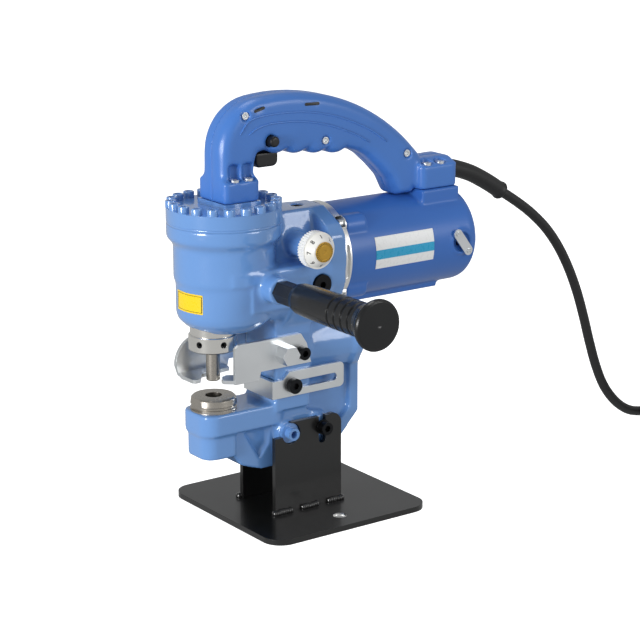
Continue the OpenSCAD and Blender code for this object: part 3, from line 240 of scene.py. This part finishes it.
finishes = {
    "castEnamel": painted("castEnamel", "6896D3", 0.20, 2.8 * mm, 0.10 * mm, 0.85),
    "coverEnamel": painted("coverEnamel", "6896D3", 0.20, 2.8 * mm, 0.06 * mm, 0.85, 0.5 * mm),
    "moulding": moulded("blueMoulding", "3A6FC0", 0.32, 0.5 * mm, 0.010 * mm),
    # the handle halves take the motor's blue painted lighter, a painted sheen for how the light falls on the
    # handle
    "litGripMoulding": moulded("litGripMoulding", "467AC8", 0.30, 0.5 * mm, 0.010 * mm),
    "powderBlack": painted("powderBlack", "111111", 0.34, 0.6 * mm, 0.012 * mm, 0.3, 0.4 * mm),
    "weldBlack": painted("weldBlack", "1A1A1A", 0.14, 0.9 * mm, 0.03 * mm, 1.0),
    "zinc": metal("zincPlate", "EBEEF0", 0.30, (0.3, 1, 1)),
    "chromed": metal("chromedHolder", "EFEDE8", 0.20, (1, 1, 5), 0.06, 0.003 * mm),
    "turned": metal("turnedSteel", "BAB4AB", 0.28, (1, 1, 5), 0.10, 0.004 * mm),
    "blackened": metal("blackenedSteel", "2A2B2D", 0.38, (1, 1, 1)),
    "bright": metal("brightAdapter", "F4F4F2", 0.34, (1, 0.2, 0.2), lowTone=0.96),
    "bronze": metal("bearingBronze", "B08A4E", 0.3, (1, 1, 3)),
    "gilt": metal("giltDisc", "CFA448", 0.38, (1, 1, 1), lowTone=0.9),
    "copper": metal("woundCopper", "B5703C", 0.35, (1, 1, 6)),
    "rubber": moulded("blackRubber", "1A1A1B", 0.50, 0.6 * mm, 0.015 * mm),
    "gripRubber": moulded("gripRubber", "121315", 0.24, 0.8 * mm, 0.012 * mm),
    "blackPlastic": moulded("blackPlastic", "141415", 0.36, 0.5 * mm, 0.010 * mm),
    "dialWhite": moulded("dialWhite", "F0EFEA", 0.35, 0.6 * mm, 0.010 * mm, 0.2 * mm),
    "yellowLabel": printed("yellowLabel", "F7D21A", "2A2418", [], {"inset": (0.035, 0.09), "width": 0.016}),
    "ratingPlate": printed("ratingPlate", "F4F5F5", "2FA7D3", [(0.30, 0.59)], None),
}
nodeFinish = {
    "castEnamel": "frame_casting pump_casting stand_hook_bolts cover_gasket",
    "coverEnamel": "cylinder_cover cover_screws",
    "moulding": "motor_housing",
    # the handle halves get the lighter blue with its painted sheen
    "litGripMoulding": "handle_half_near handle_half_far",
    "powderBlack": "stand_plate stand_upright_near stand_upright_far",
    "zinc": "stripper_near stripper_far back_gauge stripper_bolts die_lock_screw handle_screws mount_screws"
            " adapter_screws brush_covers brush_cover_screws",
    "chromed": "piston_ram punch_holder",
    "turned": "punch die return_spring rotor_shaft shaft_bearings drive_gear"
              " eccentric_shaft pump_block pump_plunger valve_stem stator",
    "blackened": "stand_screws stripper_screws gauge_screw holder_set_screws relief_plug filler_plug",
    "bright": "motor_adapter",
    "bronze": "rod_bush plug_blades",
    "copper": "rotor_core commutator",
    "rubber": "rod_seal piston_seal cord_sleeve cord_lead cord_coil cord_plug",
    "gripRubber": "side_grip",
    "blackPlastic": "switch_body trigger lock_button cooling_fan carbon_brushes side_handle_stud",
    "dialWhite": "dial_knob",
}
for finishName, members in nodeFinish.items():
    for node in members.split():
        nodes[node].data.materials.clear()
        nodes[node].data.materials.append(finishes[finishName])
print("finishes on", sum(len(m.split()) for m in nodeFinish.values()), "of", len(nodes), "nodes")


def addPiece(name, mesh, finish, body="frame", stands=()):
    mesh.materials.clear()
    mesh.materials.append(finish)
    obj = bpy.data.objects.new(name, mesh)
    bpy.context.scene.collection.objects.link(obj)
    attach(obj, body)
    if stands:
        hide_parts(*stands)
    print(name, len(mesh.polygons), "faces")
    return obj


mergeDistance = {"made": 1e-7, "packed": 1e-6}


def cleaned(mesh, smooth=True):
    work = bmesh.new()
    work.from_mesh(mesh)
    bmesh.ops.remove_doubles(work, verts=work.verts, dist=mergeDistance["made"])
    bmesh.ops.recalc_face_normals(work, faces=work.faces)
    work.to_mesh(mesh)
    work.free()
    mesh.polygons.foreach_set("use_smooth", [smooth] * len(mesh.polygons))
    return mesh


def meshOf(name, verts, faces, smooth=True):
    mesh = bpy.data.meshes.new(name)
    mesh.from_pydata([tuple(v) for v in verts], [], faces)
    return cleaned(mesh, smooth)


def weldedCopy(name, *sources):
    work = bmesh.new()
    for node in sources:
        work.from_mesh(nodes[node].data)
    bmesh.ops.remove_doubles(work, verts=work.verts, dist=mergeDistance["packed"])
    mesh = bpy.data.meshes.new(name)
    work.to_mesh(mesh)
    work.free()
    return mesh


def applied(obj):  # the evaluated shape as a plain mesh, with the modifiers gone
    graph = bpy.context.evaluated_depsgraph_get()
    mesh = bpy.data.meshes.new_from_object(obj.evaluated_get(graph))
    bpy.data.objects.remove(obj)
    return mesh


def remeshed(name, voxel, *sources):
    obj = bpy.data.objects.new(name, weldedCopy(name, *sources))
    bpy.context.scene.collection.objects.link(obj)
    skin = obj.modifiers.new("skin", "REMESH")
    skin.mode, skin.voxel_size = "VOXEL", voxel
    return applied(obj)


def relaxed(mesh, passes, share=0.5, holds=None):
    points = np.zeros(len(mesh.vertices) * 3)
    mesh.vertices.foreach_get("co", points)
    points = points.reshape(-1, 3)
    ends = np.zeros(len(mesh.edges) * 2, int)
    mesh.edges.foreach_get("vertices", ends)
    a, b = ends.reshape(-1, 2).T
    count = np.bincount(np.concatenate([a, b]), minlength=len(points))[:, None].clip(1)
    free = np.ones(len(points)) if holds is None else 1 - holds(points)
    for _ in range(passes):
        near = np.zeros_like(points)
        for axis in range(3):
            near[:, axis] = (np.bincount(a, points[b, axis], len(points))
                             + np.bincount(b, points[a, axis], len(points)))
        points += share * free[:, None] * (near / count - points)
    mesh.vertices.foreach_set("co", points.ravel())
    mesh.polygons.foreach_set("use_smooth", [True] * len(mesh.polygons))
    mesh.update()
    return mesh


def surfaceOf(obj):
    return BVHTree.FromPolygons([v.co for v in obj.data.vertices], [tuple(p.vertices) for p in obj.data.polygons])


outwards = Matrix.Rotation(math.pi / 2, 4, "X")  # turns a piece's own Z to face -Y, the near side


def turned(name, profile, sides, place=Matrix()):
    verts, faces = [], []
    for radius, height in profile:
        for k in range(sides):
            a = 2 * math.pi * k / sides
            r = radius(a) if callable(radius) else radius
            verts.append(place @ Vector((r * math.cos(a), r * math.sin(a), height)))
    for i in range(len(profile) - 1):
        for k in range(sides):
            m = (k + 1) % sides
            faces.append((i * sides + k, i * sides + m, (i + 1) * sides + m, (i + 1) * sides + k))
    faces += [tuple(range(sides)), tuple((len(profile) - 1) * sides + k for k in range(sides))]
    return meshOf(name, verts, faces)


def sharpened(mesh, degrees):  # keeps crisp edges where faces meet at more than this angle
    work = bmesh.new()
    work.from_mesh(mesh)
    for edge in work.edges:
        edge.smooth = len(edge.link_faces) == 2 and edge.calc_face_angle(0) < math.radians(degrees)
    work.to_mesh(mesh)
    work.free()
    return mesh


class Rig:  # a geometry tree whose sizes are named inputs
    def __init__(self, name, sizes):
        self.name, self.sizes, self.keys = name, sizes, {}
        self.tree = bpy.data.node_groups.new(name, "GeometryNodeTree")
        face = self.tree.interface
        face.new_socket("Geometry", in_out="INPUT", socket_type="NodeSocketGeometry")
        face.new_socket("Geometry", in_out="OUTPUT", socket_type="NodeSocketGeometry")
        for key, value in sizes.items():
            kind = "NodeSocketInt" if isinstance(value, int) else "NodeSocketFloat"
            self.keys[key] = face.new_socket(key, in_out="INPUT", socket_type=kind).identifier
        self.start = self.tree.nodes.new("NodeGroupInput")
        self.end = self.tree.nodes.new("NodeGroupOutput")

    def add(self, kind, settings, inputs, output=0):
        node = self.tree.nodes.new(kind)
        for key, value in settings.items():
            setattr(node, key, value)
        for key, value in inputs.items():
            if isinstance(value, bpy.types.NodeSocket):
                self.tree.links.new(value, node.inputs[key])
            else:
                node.inputs[key].default_value = value
        return node.outputs[output]

    def made(self, source, shape, finish):
        whole = self.add("GeometryNodeRealizeInstances", {}, {"Geometry": shape})
        coated = self.add("GeometryNodeSetMaterial", {}, {"Geometry": whole, "Material": finish})
        self.tree.links.new(coated, self.end.inputs[0])
        obj = bpy.data.objects.new(self.name, source)
        bpy.context.scene.collection.objects.link(obj)
        step = obj.modifiers.new("rig", "NODES")
        step.node_group = self.tree
        for key, value in self.sizes.items():
            step[self.keys[key]] = value
        return applied(obj)


# the two castings show as one, with rounded cast edges
casting = {"voxel": 1.3 * mm, "passes": 4}
skin = relaxed(remeshed("castFrame", casting["voxel"], "frame_casting", "pump_casting"), casting["passes"])
castFrame = addPiece("castFrame", skin, finishes["castEnamel"],
                     stands=("frame_casting", "pump_casting"))
castSurface = surfaceOf(castFrame)

# the two handle halves, rounded as moulded, their split face held flat
handle = {"voxel": 0.9 * mm, "passes": 14, "seam": 1.2 * mm, "clear": 60 * mm, "wellHold": 0.8,
          "wellReach": 6.0 * mm,
          "wells": [(-58, 14, 319.8), (15.6, 14, 293.8), (95, 14, 275.3), (-68.5, 14, 273.5), (-56, 14, 273.5),
                    (113.2, 16, 266), (126.5, 16, 266)]}


def seamHold(points):  # 1 keeps a point where it is; the screw wells keep most of their edge
    held = (np.abs(points[:, 1]) < handle["seam"]).astype(float)
    folded = points * (1, 0, 1) + np.abs(points) * (0, 1, 0)
    for well in handle["wells"]:
        close = np.linalg.norm(folded - np.array(well) * mm, axis=1) < handle["wellReach"]
        held = np.maximum(held, handle["wellHold"] * close)
    return held


grips = {}
for side in ("near", "far"):
    node = "handle_half_" + side
    shell = relaxed(remeshed("grip" + side.title(), handle["voxel"], node), handle["passes"], holds=seamHold)
    grips[side] = addPiece("grip" + side.title(), shell, finishes["litGripMoulding"], stands=(node,))

# small mouldings with softened corners: voxel, passes, finish, slot, body
softened = {
    "trigger": (0.6 * mm, 6, "blackPlastic", "black_plastic", "trigger"),
    "lock_button": (0.45 * mm, 5, "blackPlastic", "black_plastic", "lock_button"),
    "cord_plug": (0.9 * mm, 5, "rubber", "rubber", "frame"),
    "motor_housing": (1.2 * mm, 2, "moulding", "blue_plastic", "frame"),
}
for node, (voxel, passes, finishName, slot, body) in softened.items():
    name = "soft" + "".join(word.title() for word in node.split("_"))
    shell = relaxed(remeshed(name, voxel, node), passes)
    addPiece(name, shell, finishes[finishName], body, (node,))

# socket head screws round the cylinder cover
coverScrew = {"count": 20, "pitchRadius": 40 * mm, "firstAngle": math.radians(9), "seat": 251.5 * mm,
              "centre": -69 * mm, "head": 4.25 * mm, "height": 5 * mm, "socket": 2.45 * mm, "depth": 2.6 * mm,
              "sunk": 0.4 * mm, "round": 0.55 * mm, "shoulder": 0.16 * mm, "flare": 0.15 * mm, "lead": 0.2 * mm,
              "sides": 36, "crisp": 40}


def hexRadius(apothem):
    return lambda a: apothem / math.cos((a + math.pi / 6) % (math.pi / 3) - math.pi / 6)


def socketHead(name, c):
    r, h, key = c["head"], c["height"], hexRadius(c["socket"])
    profile = [(r, -c["sunk"]), (r, h - c["round"]), (r - c["shoulder"], h - c["shoulder"]), (r - c["round"], h),
               (hexRadius(c["socket"] + c["flare"]), h), (key, h - c["lead"]), (key, h - c["depth"])]
    return sharpened(turned(name, profile, c["sides"]), c["crisp"])


ring = Rig("coverScrews", {"count": coverScrew["count"], "pitchRadius": coverScrew["pitchRadius"]})
spots = ring.add("GeometryNodeMeshCircle", {}, {"Vertices": ring.start.outputs["count"],
                                                "Radius": ring.start.outputs["pitchRadius"]})
heads = ring.add("GeometryNodeInstanceOnPoints", {}, {"Points": spots, "Instance": ring.start.outputs[0]})
stood = ring.add("GeometryNodeTransform", {}, {"Geometry": heads, "Rotation": (0, 0, coverScrew["firstAngle"]),
                                               "Translation": (coverScrew["centre"], 0, coverScrew["seat"])})
addPiece("coverScrews", ring.made(socketHead("screwHead", coverScrew), stood, finishes["coverEnamel"]),
         finishes["coverEnamel"], stands=("cover_screws",))

# weld beads where the uprights meet the stand plate
weld = {"runs": [(-41.8, -26.5), (-15.0, -1.4), (10.4, 23.2)], "offset": 25.4 * mm, "height": 5.6 * mm,
        "ripple": 1.9 * mm, "radius": 2.8 * mm, "seed": 7, "small": (0.62, 0.85, 0.85), "large": (0.8, 1.1, 1.1)}
ends = [(x * mm, side * weld["offset"], weld["height"]) for side in (-1, 1) for run in weld["runs"] for x in run]
lines = bpy.data.meshes.new("weldLines")
lines.from_pydata(ends, [(i, i + 1) for i in range(0, len(ends), 2)], [])
bead = Rig("weldBeads", {"ripple": weld["ripple"], "radius": weld["radius"], "seed": weld["seed"]})
track = bead.add("GeometryNodeMeshToCurve", {}, {"Mesh": bead.start.outputs[0]})
drops = bead.add("GeometryNodeCurveToPoints", {"mode": "LENGTH"},
                 {"Curve": track, "Length": bead.start.outputs["ripple"]})
drop = bead.add("GeometryNodeMeshIcoSphere", {}, {"Radius": bead.start.outputs["radius"], "Subdivisions": 3})
swell = bead.add("FunctionNodeRandomValue", {"data_type": "FLOAT_VECTOR"},
                 {0: weld["small"], 1: weld["large"], "Seed": bead.start.outputs["seed"]})
laid = bead.add("GeometryNodeInstanceOnPoints", {}, {"Points": drops, "Instance": drop, "Scale": swell})
ripples = bead.add("GeometryNodeSetShadeSmooth", {},
                   {"Geometry": bead.add("GeometryNodeRealizeInstances", {}, {"Geometry": laid})})
addPiece("weldBeads", bead.made(lines, ripples, finishes["weldBlack"]), finishes["weldBlack"])


def decal(name, rows, finish, body="frame"):  # rows of points, bottom row first, mapped 0 to 1 each way
    across, up = len(rows[0]), len(rows)
    mesh = bpy.data.meshes.new(name)
    mesh.from_pydata([tuple(p) for row in rows for p in row], [],
                     [(j * across + i, j * across + i + 1, (j + 1) * across + i + 1, (j + 1) * across + i)
                      for j in range(up - 1) for i in range(across - 1)])
    chart = mesh.uv_layers.new(name="label")
    for loop in mesh.loops:
        j, i = divmod(loop.vertex_index, across)
        chart.data[loop.index].uv = (i / (across - 1), j / (up - 1))
    mesh.polygons.foreach_set("use_smooth", [True] * len(mesh.polygons))
    return addPiece(name, mesh, finish, body)


def steps(low, high, count):
    return [low + (high - low) * i / (count - 1) for i in range(count)]


# the bare yellow label on the cylinder and the bare plate on the motor
cylinderLabel = {"centre": -69 * mm, "angles": (166.5, 210.7), "heights": (174.7, 189.7), "lift": 0.12 * mm,
                 "grid": (40, 16), "stand": 120 * mm}
rows = []
for z in steps(*cylinderLabel["heights"], cylinderLabel["grid"][1]):
    row = []
    for angle in steps(*cylinderLabel["angles"], cylinderLabel["grid"][0]):
        out = Vector((math.cos(math.radians(angle)), math.sin(math.radians(angle)), 0))
        start = Vector((cylinderLabel["centre"], 0, z * mm)) + cylinderLabel["stand"] * out
        row.append(castSurface.ray_cast(start, -out)[0] + cylinderLabel["lift"] * out)
    rows.append(row)
decal("cylinderLabel", rows, finishes["yellowLabel"])

motorPlate = {"ends": (46.5, 104), "angles": (-15.7, 22), "radius": 38.75 * mm, "axis": 203 * mm,
              "grid": (12, 20)}
rows = [[(x * mm, -motorPlate["radius"] * math.cos(math.radians(a)),
          motorPlate["axis"] + motorPlate["radius"] * math.sin(math.radians(a)))
         for x in steps(*motorPlate["ends"], motorPlate["grid"][0])]
        for a in steps(*motorPlate["angles"], motorPlate["grid"][1])]
decal("motorPlate", rows, finishes["ratingPlate"])

# the dial's gilt disc, and the numbers on its cone
dialFace = {"centre": Vector((-19 * mm, 0, 219.5 * mm)), "front": 60.2 * mm, "count": 8,
            "wide": (13.25 * mm, 53.4 * mm), "narrow": (8.45 * mm, 59.4 * mm),
            "digit": 4.8 * mm, "bold": 0.10 * mm, "middle": 0.46, "lift": 0.05 * mm,
            "ticks": 28, "tickRadius": 6.75 * mm, "tick": (0.95 * mm, 0.42 * mm), "tickLift": 0.68 * mm,
            "sides": 64, "crisp": 30,
            "disc": [(7.8, -0.4), (7.8, 0.35), (7.45, 0.65), (6.1, 0.65), (5.9, 0.45), (5.3, 0.45), (5.1, 0.65),
                     (1.9, 0.65), (1.6, 0.3), (0.3, 0.3)]}
place = Matrix.Translation(dialFace["centre"]) @ outwards @ Matrix.Translation((0, 0, dialFace["front"]))
disc = turned("giltDisc", [(r * mm, z * mm) for r, z in dialFace["disc"]], dialFace["sides"], place)
addPiece("giltDisc", sharpened(disc, dialFace["crisp"]), finishes["gilt"], "dial")

# a plain ring of ticks printed on the disc
(long, wide), face = dialFace["tick"], dialFace["front"] + dialFace["tickLift"]
corners = [(x * long / 2, y * wide / 2, 0) for x, y in ((-1, -1), (1, -1), (1, 1), (-1, 1))]
strip = meshOf("tick", corners, [(0, 1, 2, 3)], False)
scale = Rig("dialTicks", {"count": dialFace["ticks"], "radius": dialFace["tickRadius"]})
spots = scale.add("GeometryNodeMeshCircle", {}, {"Vertices": scale.start.outputs["count"],
                                                 "Radius": scale.start.outputs["radius"]})
facing = scale.add("FunctionNodeAlignRotationToVector", {"axis": "X"},
                   {"Vector": scale.add("GeometryNodeInputPosition", {}, {})})
marks = scale.add("GeometryNodeInstanceOnPoints", {},
                  {"Points": spots, "Instance": scale.start.outputs[0], "Rotation": facing})
stood = scale.add("GeometryNodeTransform", {}, {"Geometry": marks, "Rotation": (math.pi / 2, 0, 0),
                                                "Translation": dialFace["centre"] + Vector((0, -face, 0))})
addPiece("dialTicks", scale.made(strip, stood, finishes["blackPlastic"]), finishes["blackPlastic"],
         "dial")


def onCone(along, angle, lift):  # along: 0 at the wide end, 1 at the narrow end
    (r0, y0), (r1, y1) = dialFace["wide"], dialFace["narrow"]
    tilt = math.atan2(r0 - r1, y1 - y0)
    r = r0 + (r1 - r0) * along + lift * math.cos(tilt)
    y = y0 + (y1 - y0) * along + lift * math.sin(tilt)
    return dialFace["centre"] + Vector((r * math.cos(angle), -y, r * math.sin(angle)))


def digitMesh(body, size):
    text = bpy.data.curves.new("digit", "FONT")
    text.body, text.size, text.align_x, text.align_y = body, size, "CENTER", "CENTER"
    text.offset = dialFace["bold"]
    obj = bpy.data.objects.new("digit", text)
    bpy.context.scene.collection.objects.link(obj)
    return applied(obj)


slope = math.hypot(dialFace["wide"][0] - dialFace["narrow"][0], dialFace["narrow"][1] - dialFace["wide"][1])
verts, faces = [], []
for k in range(dialFace["count"]):
    angle = math.radians(90 - 360 / dialFace["count"] * k)
    flat = digitMesh(str(k + 1), dialFace["digit"])
    base = len(verts)
    for v in flat.vertices:
        along = dialFace["middle"] - v.co.y / slope
        radius = dialFace["wide"][0] + (dialFace["narrow"][0] - dialFace["wide"][0]) * along
        verts.append(onCone(along, angle - v.co.x / radius, dialFace["lift"]))
    faces += [tuple(base + i for i in p.vertices) for p in flat.polygons]
numbers = bpy.data.meshes.new("dialNumbers")
numbers.from_pydata([tuple(v) for v in verts], [], faces)
addPiece("dialNumbers", numbers, finishes["blackPlastic"], "dial")

# the painted joint under the cover, and bare drilled walls in the plate's bench holes
joint = {"centre": -69 * mm, "radius": 43.7, "heights": (238.6, 241.6), "wall": 3, "chamfer": 0.3, "sides": 128}
low, high = joint["heights"]
innerRadius = joint["radius"] - joint["wall"]
profile = [(innerRadius, low), (joint["radius"], low + joint["chamfer"]),
           (joint["radius"], high - joint["chamfer"]), (innerRadius, high)]
jointMesh = turned("jointRing", [(r * mm, z * mm) for r, z in profile], joint["sides"],
                   Matrix.Translation((joint["centre"], 0, 0)))
addPiece("jointRing", jointMesh, finishes["castEnamel"], stands=("cover_gasket",))
benchHole = {"radius": 5.48, "wall": 0.12, "pitch": 110 * mm, "thick": 4.5, "inset": 0.02, "sides": 48}
for side, y in (("Near", -0.5), ("Far", 0.5)):
    r, w, low, count = benchHole["radius"], benchHole["wall"], benchHole["inset"], benchHole["sides"]
    high = benchHole["thick"] - low
    verts, faces = [], []
    for radius, z in ((r, low), (r, high), (r - w, high), (r - w, low)):
        for k in range(count):
            a = 2 * math.pi * k / count
            verts.append((radius * math.cos(a) * mm, radius * math.sin(a) * mm + y * benchHole["pitch"], z * mm))
    for ringIndex in range(4):
        for k in range(count):
            m, n = (k + 1) % count, (ringIndex + 1) % 4
            faces.append((ringIndex * count + k, ringIndex * count + m, n * count + m, n * count + k))
    addPiece("holeWall" + side, meshOf("holeWall", verts, faces), finishes["bright"])


def smoothRoute(points, step):
    p = np.array(points, float)
    p = np.vstack([2 * p[0] - p[1], p, 2 * p[-1] - p[-2]])
    out = []
    for i in range(1, len(p) - 2):
        count = max(1, int(round(np.linalg.norm(p[i + 1] - p[i]) / step)))
        for k in range(count):
            t = k / count
            out.append(0.5 * (2 * p[i] + (p[i + 1] - p[i - 1]) * t
                              + (2 * p[i - 1] - 5 * p[i] + 4 * p[i + 1] - p[i + 2]) * t * t
                              + (3 * p[i] - p[i - 1] - 3 * p[i + 1] + p[i + 2]) * t ** 3))
    return np.array(out + [p[-2]])


def sweep(name, route, radii, sides, up):
    verts, faces = [], []
    for i, point in enumerate(route):
        ahead = Vector(route[min(i + 1, len(route) - 1)]) - Vector(route[max(i - 1, 0)])
        ahead.normalize()
        across = ahead.cross(Vector(up)).normalized()
        over = across.cross(ahead)
        for k in range(sides):
            a = 2 * math.pi * k / sides
            verts.append(Vector(point) + radii[i] * (math.cos(a) * across + math.sin(a) * over))
    for i in range(len(route) - 1):
        for k in range(sides):
            m = (k + 1) % sides
            faces.append((i * sides + k, i * sides + m, (i + 1) * sides + m, (i + 1) * sides + k))
    faces += [tuple(range(sides)), tuple((len(route) - 1) * sides + k for k in range(sides))]
    return meshOf(name, verts, faces)


# raised lines moulded on both sides of the handle
ridge = {
    "radius": 0.8 * mm, "step": 2.0, "sides": 8, "tip": 0.3, "swell": 0.35,
    "upper": [(-63.8, 305.8), (-56.7, 314.7), (-45.7, 318.2), (-28.2, 319.1), (-10.5, 318.5), (7.4, 316.1),
              (27.3, 311.0), (45.8, 303.7), (59.4, 296.9), (74.1, 287.0)],
    "lower": [(-56, 305), (-48.9, 309.3), (-37.8, 311.8), (-23.4, 312), (-7.3, 310.8), (7.4, 308.3), (22.3, 304.2),
              (37.4, 298.4), (47.5, 293.7), (56.9, 288.2)],
}
for side, facing in (("near", -1), ("far", 1)):
    shell = surfaceOf(grips[side])
    for line in ("upper", "lower"):
        route = []
        for x, z in smoothRoute(ridge[line], ridge["step"]) * mm:
            hit = shell.ray_cast(Vector((x, facing * handle["clear"], z)), Vector((0, -facing, 0)))[0]
            if hit:
                route.append(hit)
        fromEnd = [min(i, len(route) - 1 - i) for i in range(len(route))]
        radii = [ridge["radius"] * min(1, ridge["tip"] + ridge["swell"] * i) for i in fromEnd]
        addPiece(line + "Ridge" + side.title(), sweep("ridge", route, radii, ridge["sides"], (0, 1, 0)),
                 finishes["litGripMoulding"])

# black sheets on the near half of the handle, painted shade for the shadow inside its vent slots: centre, lean,
# length
gripSlotShades = {"places": [(-45.9, 323.6, 14, 10.0), (2.2, 323.4, -2, 14.0)], "width": 2.4, "lift": 0.10 * mm,
             "endPoints": 9}
nearShell = surfaceOf(grips["near"])
for index, (x, z, lean, long) in enumerate(gripSlotShades["places"]):
    half, turn, rim = gripSlotShades["width"] / 2, Matrix.Rotation(math.radians(lean), 2), []
    for end, first in ((1, -90), (-1, 90)):
        for k in range(gripSlotShades["endPoints"]):
            a = math.radians(first + 180 / (gripSlotShades["endPoints"] - 1) * k)
            rim.append(turn @ Vector((end * (long / 2 - half) + half * math.cos(a), half * math.sin(a))))
    verts = []
    for point in [Vector((0, 0))] + rim:
        start = Vector(((x + point.x) * mm, -handle["clear"], (z + point.y) * mm))
        verts.append(nearShell.ray_cast(start, Vector((0, 1, 0)))[0] - Vector((0, gripSlotShades["lift"], 0)))
    faces = [(0, k + 1, (k + 1) % len(rim) + 1) for k in range(len(rim))]
    slotShadeMesh = bpy.data.meshes.new("gripSlotShade")
    slotShadeMesh.from_pydata([tuple(v) for v in verts], [], faces)
    addPiece("gripSlotShade" + str(index + 1), slotShadeMesh, finishes["blackPlastic"])

# the lead's sleeve, with a rolled lip
sleeve = {"route": [(141, 256), (148, 256), (158, 253.5), (173, 248), (190, 239), (206, 229)],
          "radius": 7.0, "lip": 7.7, "lipLength": 5.0, "rolled": 1.2, "step": 0.8, "sides": 32}
route = smoothRoute([(x, 0, z) for x, z in sleeve["route"]], sleeve["step"])
left = np.concatenate([np.cumsum(np.linalg.norm(np.diff(route, axis=0), axis=1)[::-1])[::-1], [0]])
radii = []
for d in left:
    t = min(d / sleeve["lipLength"], 1)
    bulge = (sleeve["lip"] - sleeve["radius"]) * math.sin(math.pi * t) if t < 1 else 0
    rolled = sleeve["rolled"] * max(0, 1 - d / sleeve["rolled"]) ** 2
    radii.append(float((sleeve["radius"] + bulge - rolled) * mm))
addPiece("leadSleeve", sweep("leadSleeve", route * mm, radii, sleeve["sides"], (0, 1, 0)),
         finishes["rubber"], stands=("cord_sleeve",))

# the mains lead: down to the floor, then its coil, tie and plug
lead = {
    "diameter": 8.5 * mm, "sides": 16, "step": 4 * mm,
    "drop": [(206, 229), (222, 219), (239, 207), (256, 192), (271, 174), (284, 153), (295, 130), (304, 106),
             (312, 82), (321, 58), (332, 37), (347, 20), (364, 9), (382, 4.8), (396, 4.25), (412, 4.25)],
    "turns": 6.5, "pitch": 9.2, "outerRadius": 64.5, "perTurn": 48, "tail": (16, 32, 48),
    "up": (0.001, 0.002, 1),
}


def coilRoute(c):
    low = c["diameter"] / mm / 2
    startX = c["drop"][-1][0] + c["diameter"] / mm
    points = []
    for i in range(int(c["turns"] * c["perTurn"]) + 1):
        t = i / c["perTurn"]
        r = c["outerRadius"] - c["pitch"] * min(t, c["turns"] - t)
        rise = min(max((t - c["turns"] / 2) * 2 + 0.5, 0), 1)
        a = math.radians(90 - 360 * t)
        points.append((startX + r * math.cos(a), -c["outerRadius"] + r * math.sin(a),
                       low + c["pitch"] * rise * rise * (3 - 2 * rise)))
    endX, endY, endZ = points[-1]
    points += [(endX - back, endY, endZ) for back in c["tail"]]
    return [(x, 0, z) for x, z in c["drop"]] + points


leadRoute = smoothRoute(coilRoute(lead), lead["step"] / mm) * mm
tube = sweep("mainsLead", leadRoute, [lead["diameter"] / 2] * len(leadRoute), lead["sides"], lead["up"])
mainsLead = addPiece("mainsLead", tube, finishes["rubber"], stands=("cord_lead", "cord_coil"))

# the tie is a flat band round all the turns
tie = {"angle": math.radians(20), "inner": 29.4, "outer": 69.7, "low": 0.1, "high": 18.9, "round": 5.0,
       "wide": 7.0, "thick": 1.1, "centre": (420.5, -64.5), "cornerPoints": 9, "crisp": 40}


def bandLoop(c, inset):
    r0, r1, z0, z1 = c["inner"] + inset, c["outer"] - inset, c["low"] + inset, c["high"] - inset
    q, loop = c["round"] - inset, []
    for cx, cz, first in ((r1 - q, z1 - q, 0), (r0 + q, z1 - q, 90), (r0 + q, z0 + q, 180), (r1 - q, z0 + q, 270)):
        for k in range(c["cornerPoints"]):
            a = math.radians(first + 90 / (c["cornerPoints"] - 1) * k)
            loop.append((cx + q * math.cos(a), cz + q * math.sin(a)))
    return loop


out = Vector((math.cos(tie["angle"]), math.sin(tie["angle"]), 0))
along = Vector((-out.y, out.x, 0))
outer, inner = bandLoop(tie, 0), bandLoop(tie, tie["thick"])
sections = [(outer, -0.5), (outer, 0.5), (inner, 0.5), (inner, -0.5)]
count, verts, faces = len(outer), [], []
for loop, share in sections:
    for r, z in loop:
        flat = Vector((*tie["centre"], 0)) * mm + (r * out + share * tie["wide"] * along) * mm
        verts.append(flat + Vector((0, 0, z * mm)))
for s in range(4):
    for k in range(count):
        m, n = (k + 1) % count, (s + 1) % 4
        faces.append((s * count + k, s * count + m, n * count + m, n * count + k))
coilTie = addPiece("coilTie", sharpened(meshOf("coilTie", verts, faces), tie["crisp"]), finishes["blackPlastic"])


def addFloor(c):
    f, half = Finish("paleFloor"), c["floorSpan"]
    dark, light = ((c["floor"] + drift,) * 3 + (1,) for drift in (-c["floorDrift"], c["floorDrift"]))
    f.surface(Base_Color=f.blend(f.grain(3, 2), dark, light), Roughness=0.8, Emission_Color=(1, 1, 1, 1),
              Emission_Strength=c["floorGlow"])
    mesh = bpy.data.meshes.new("paleFloor")
    mesh.from_pydata([(-half, -half, 0), (half, -half, 0), (half, half, 0), (-half, half, 0)], [], [(0, 1, 2, 3)])
    mesh.materials.append(f.material)
    obj = bpy.data.objects.new("paleFloor", mesh)
    obj.visible_diffuse = obj.visible_glossy = False  # the floor looks white but throws no light on the tool
    bpy.context.scene.collection.objects.link(obj)


addFloor(studio)
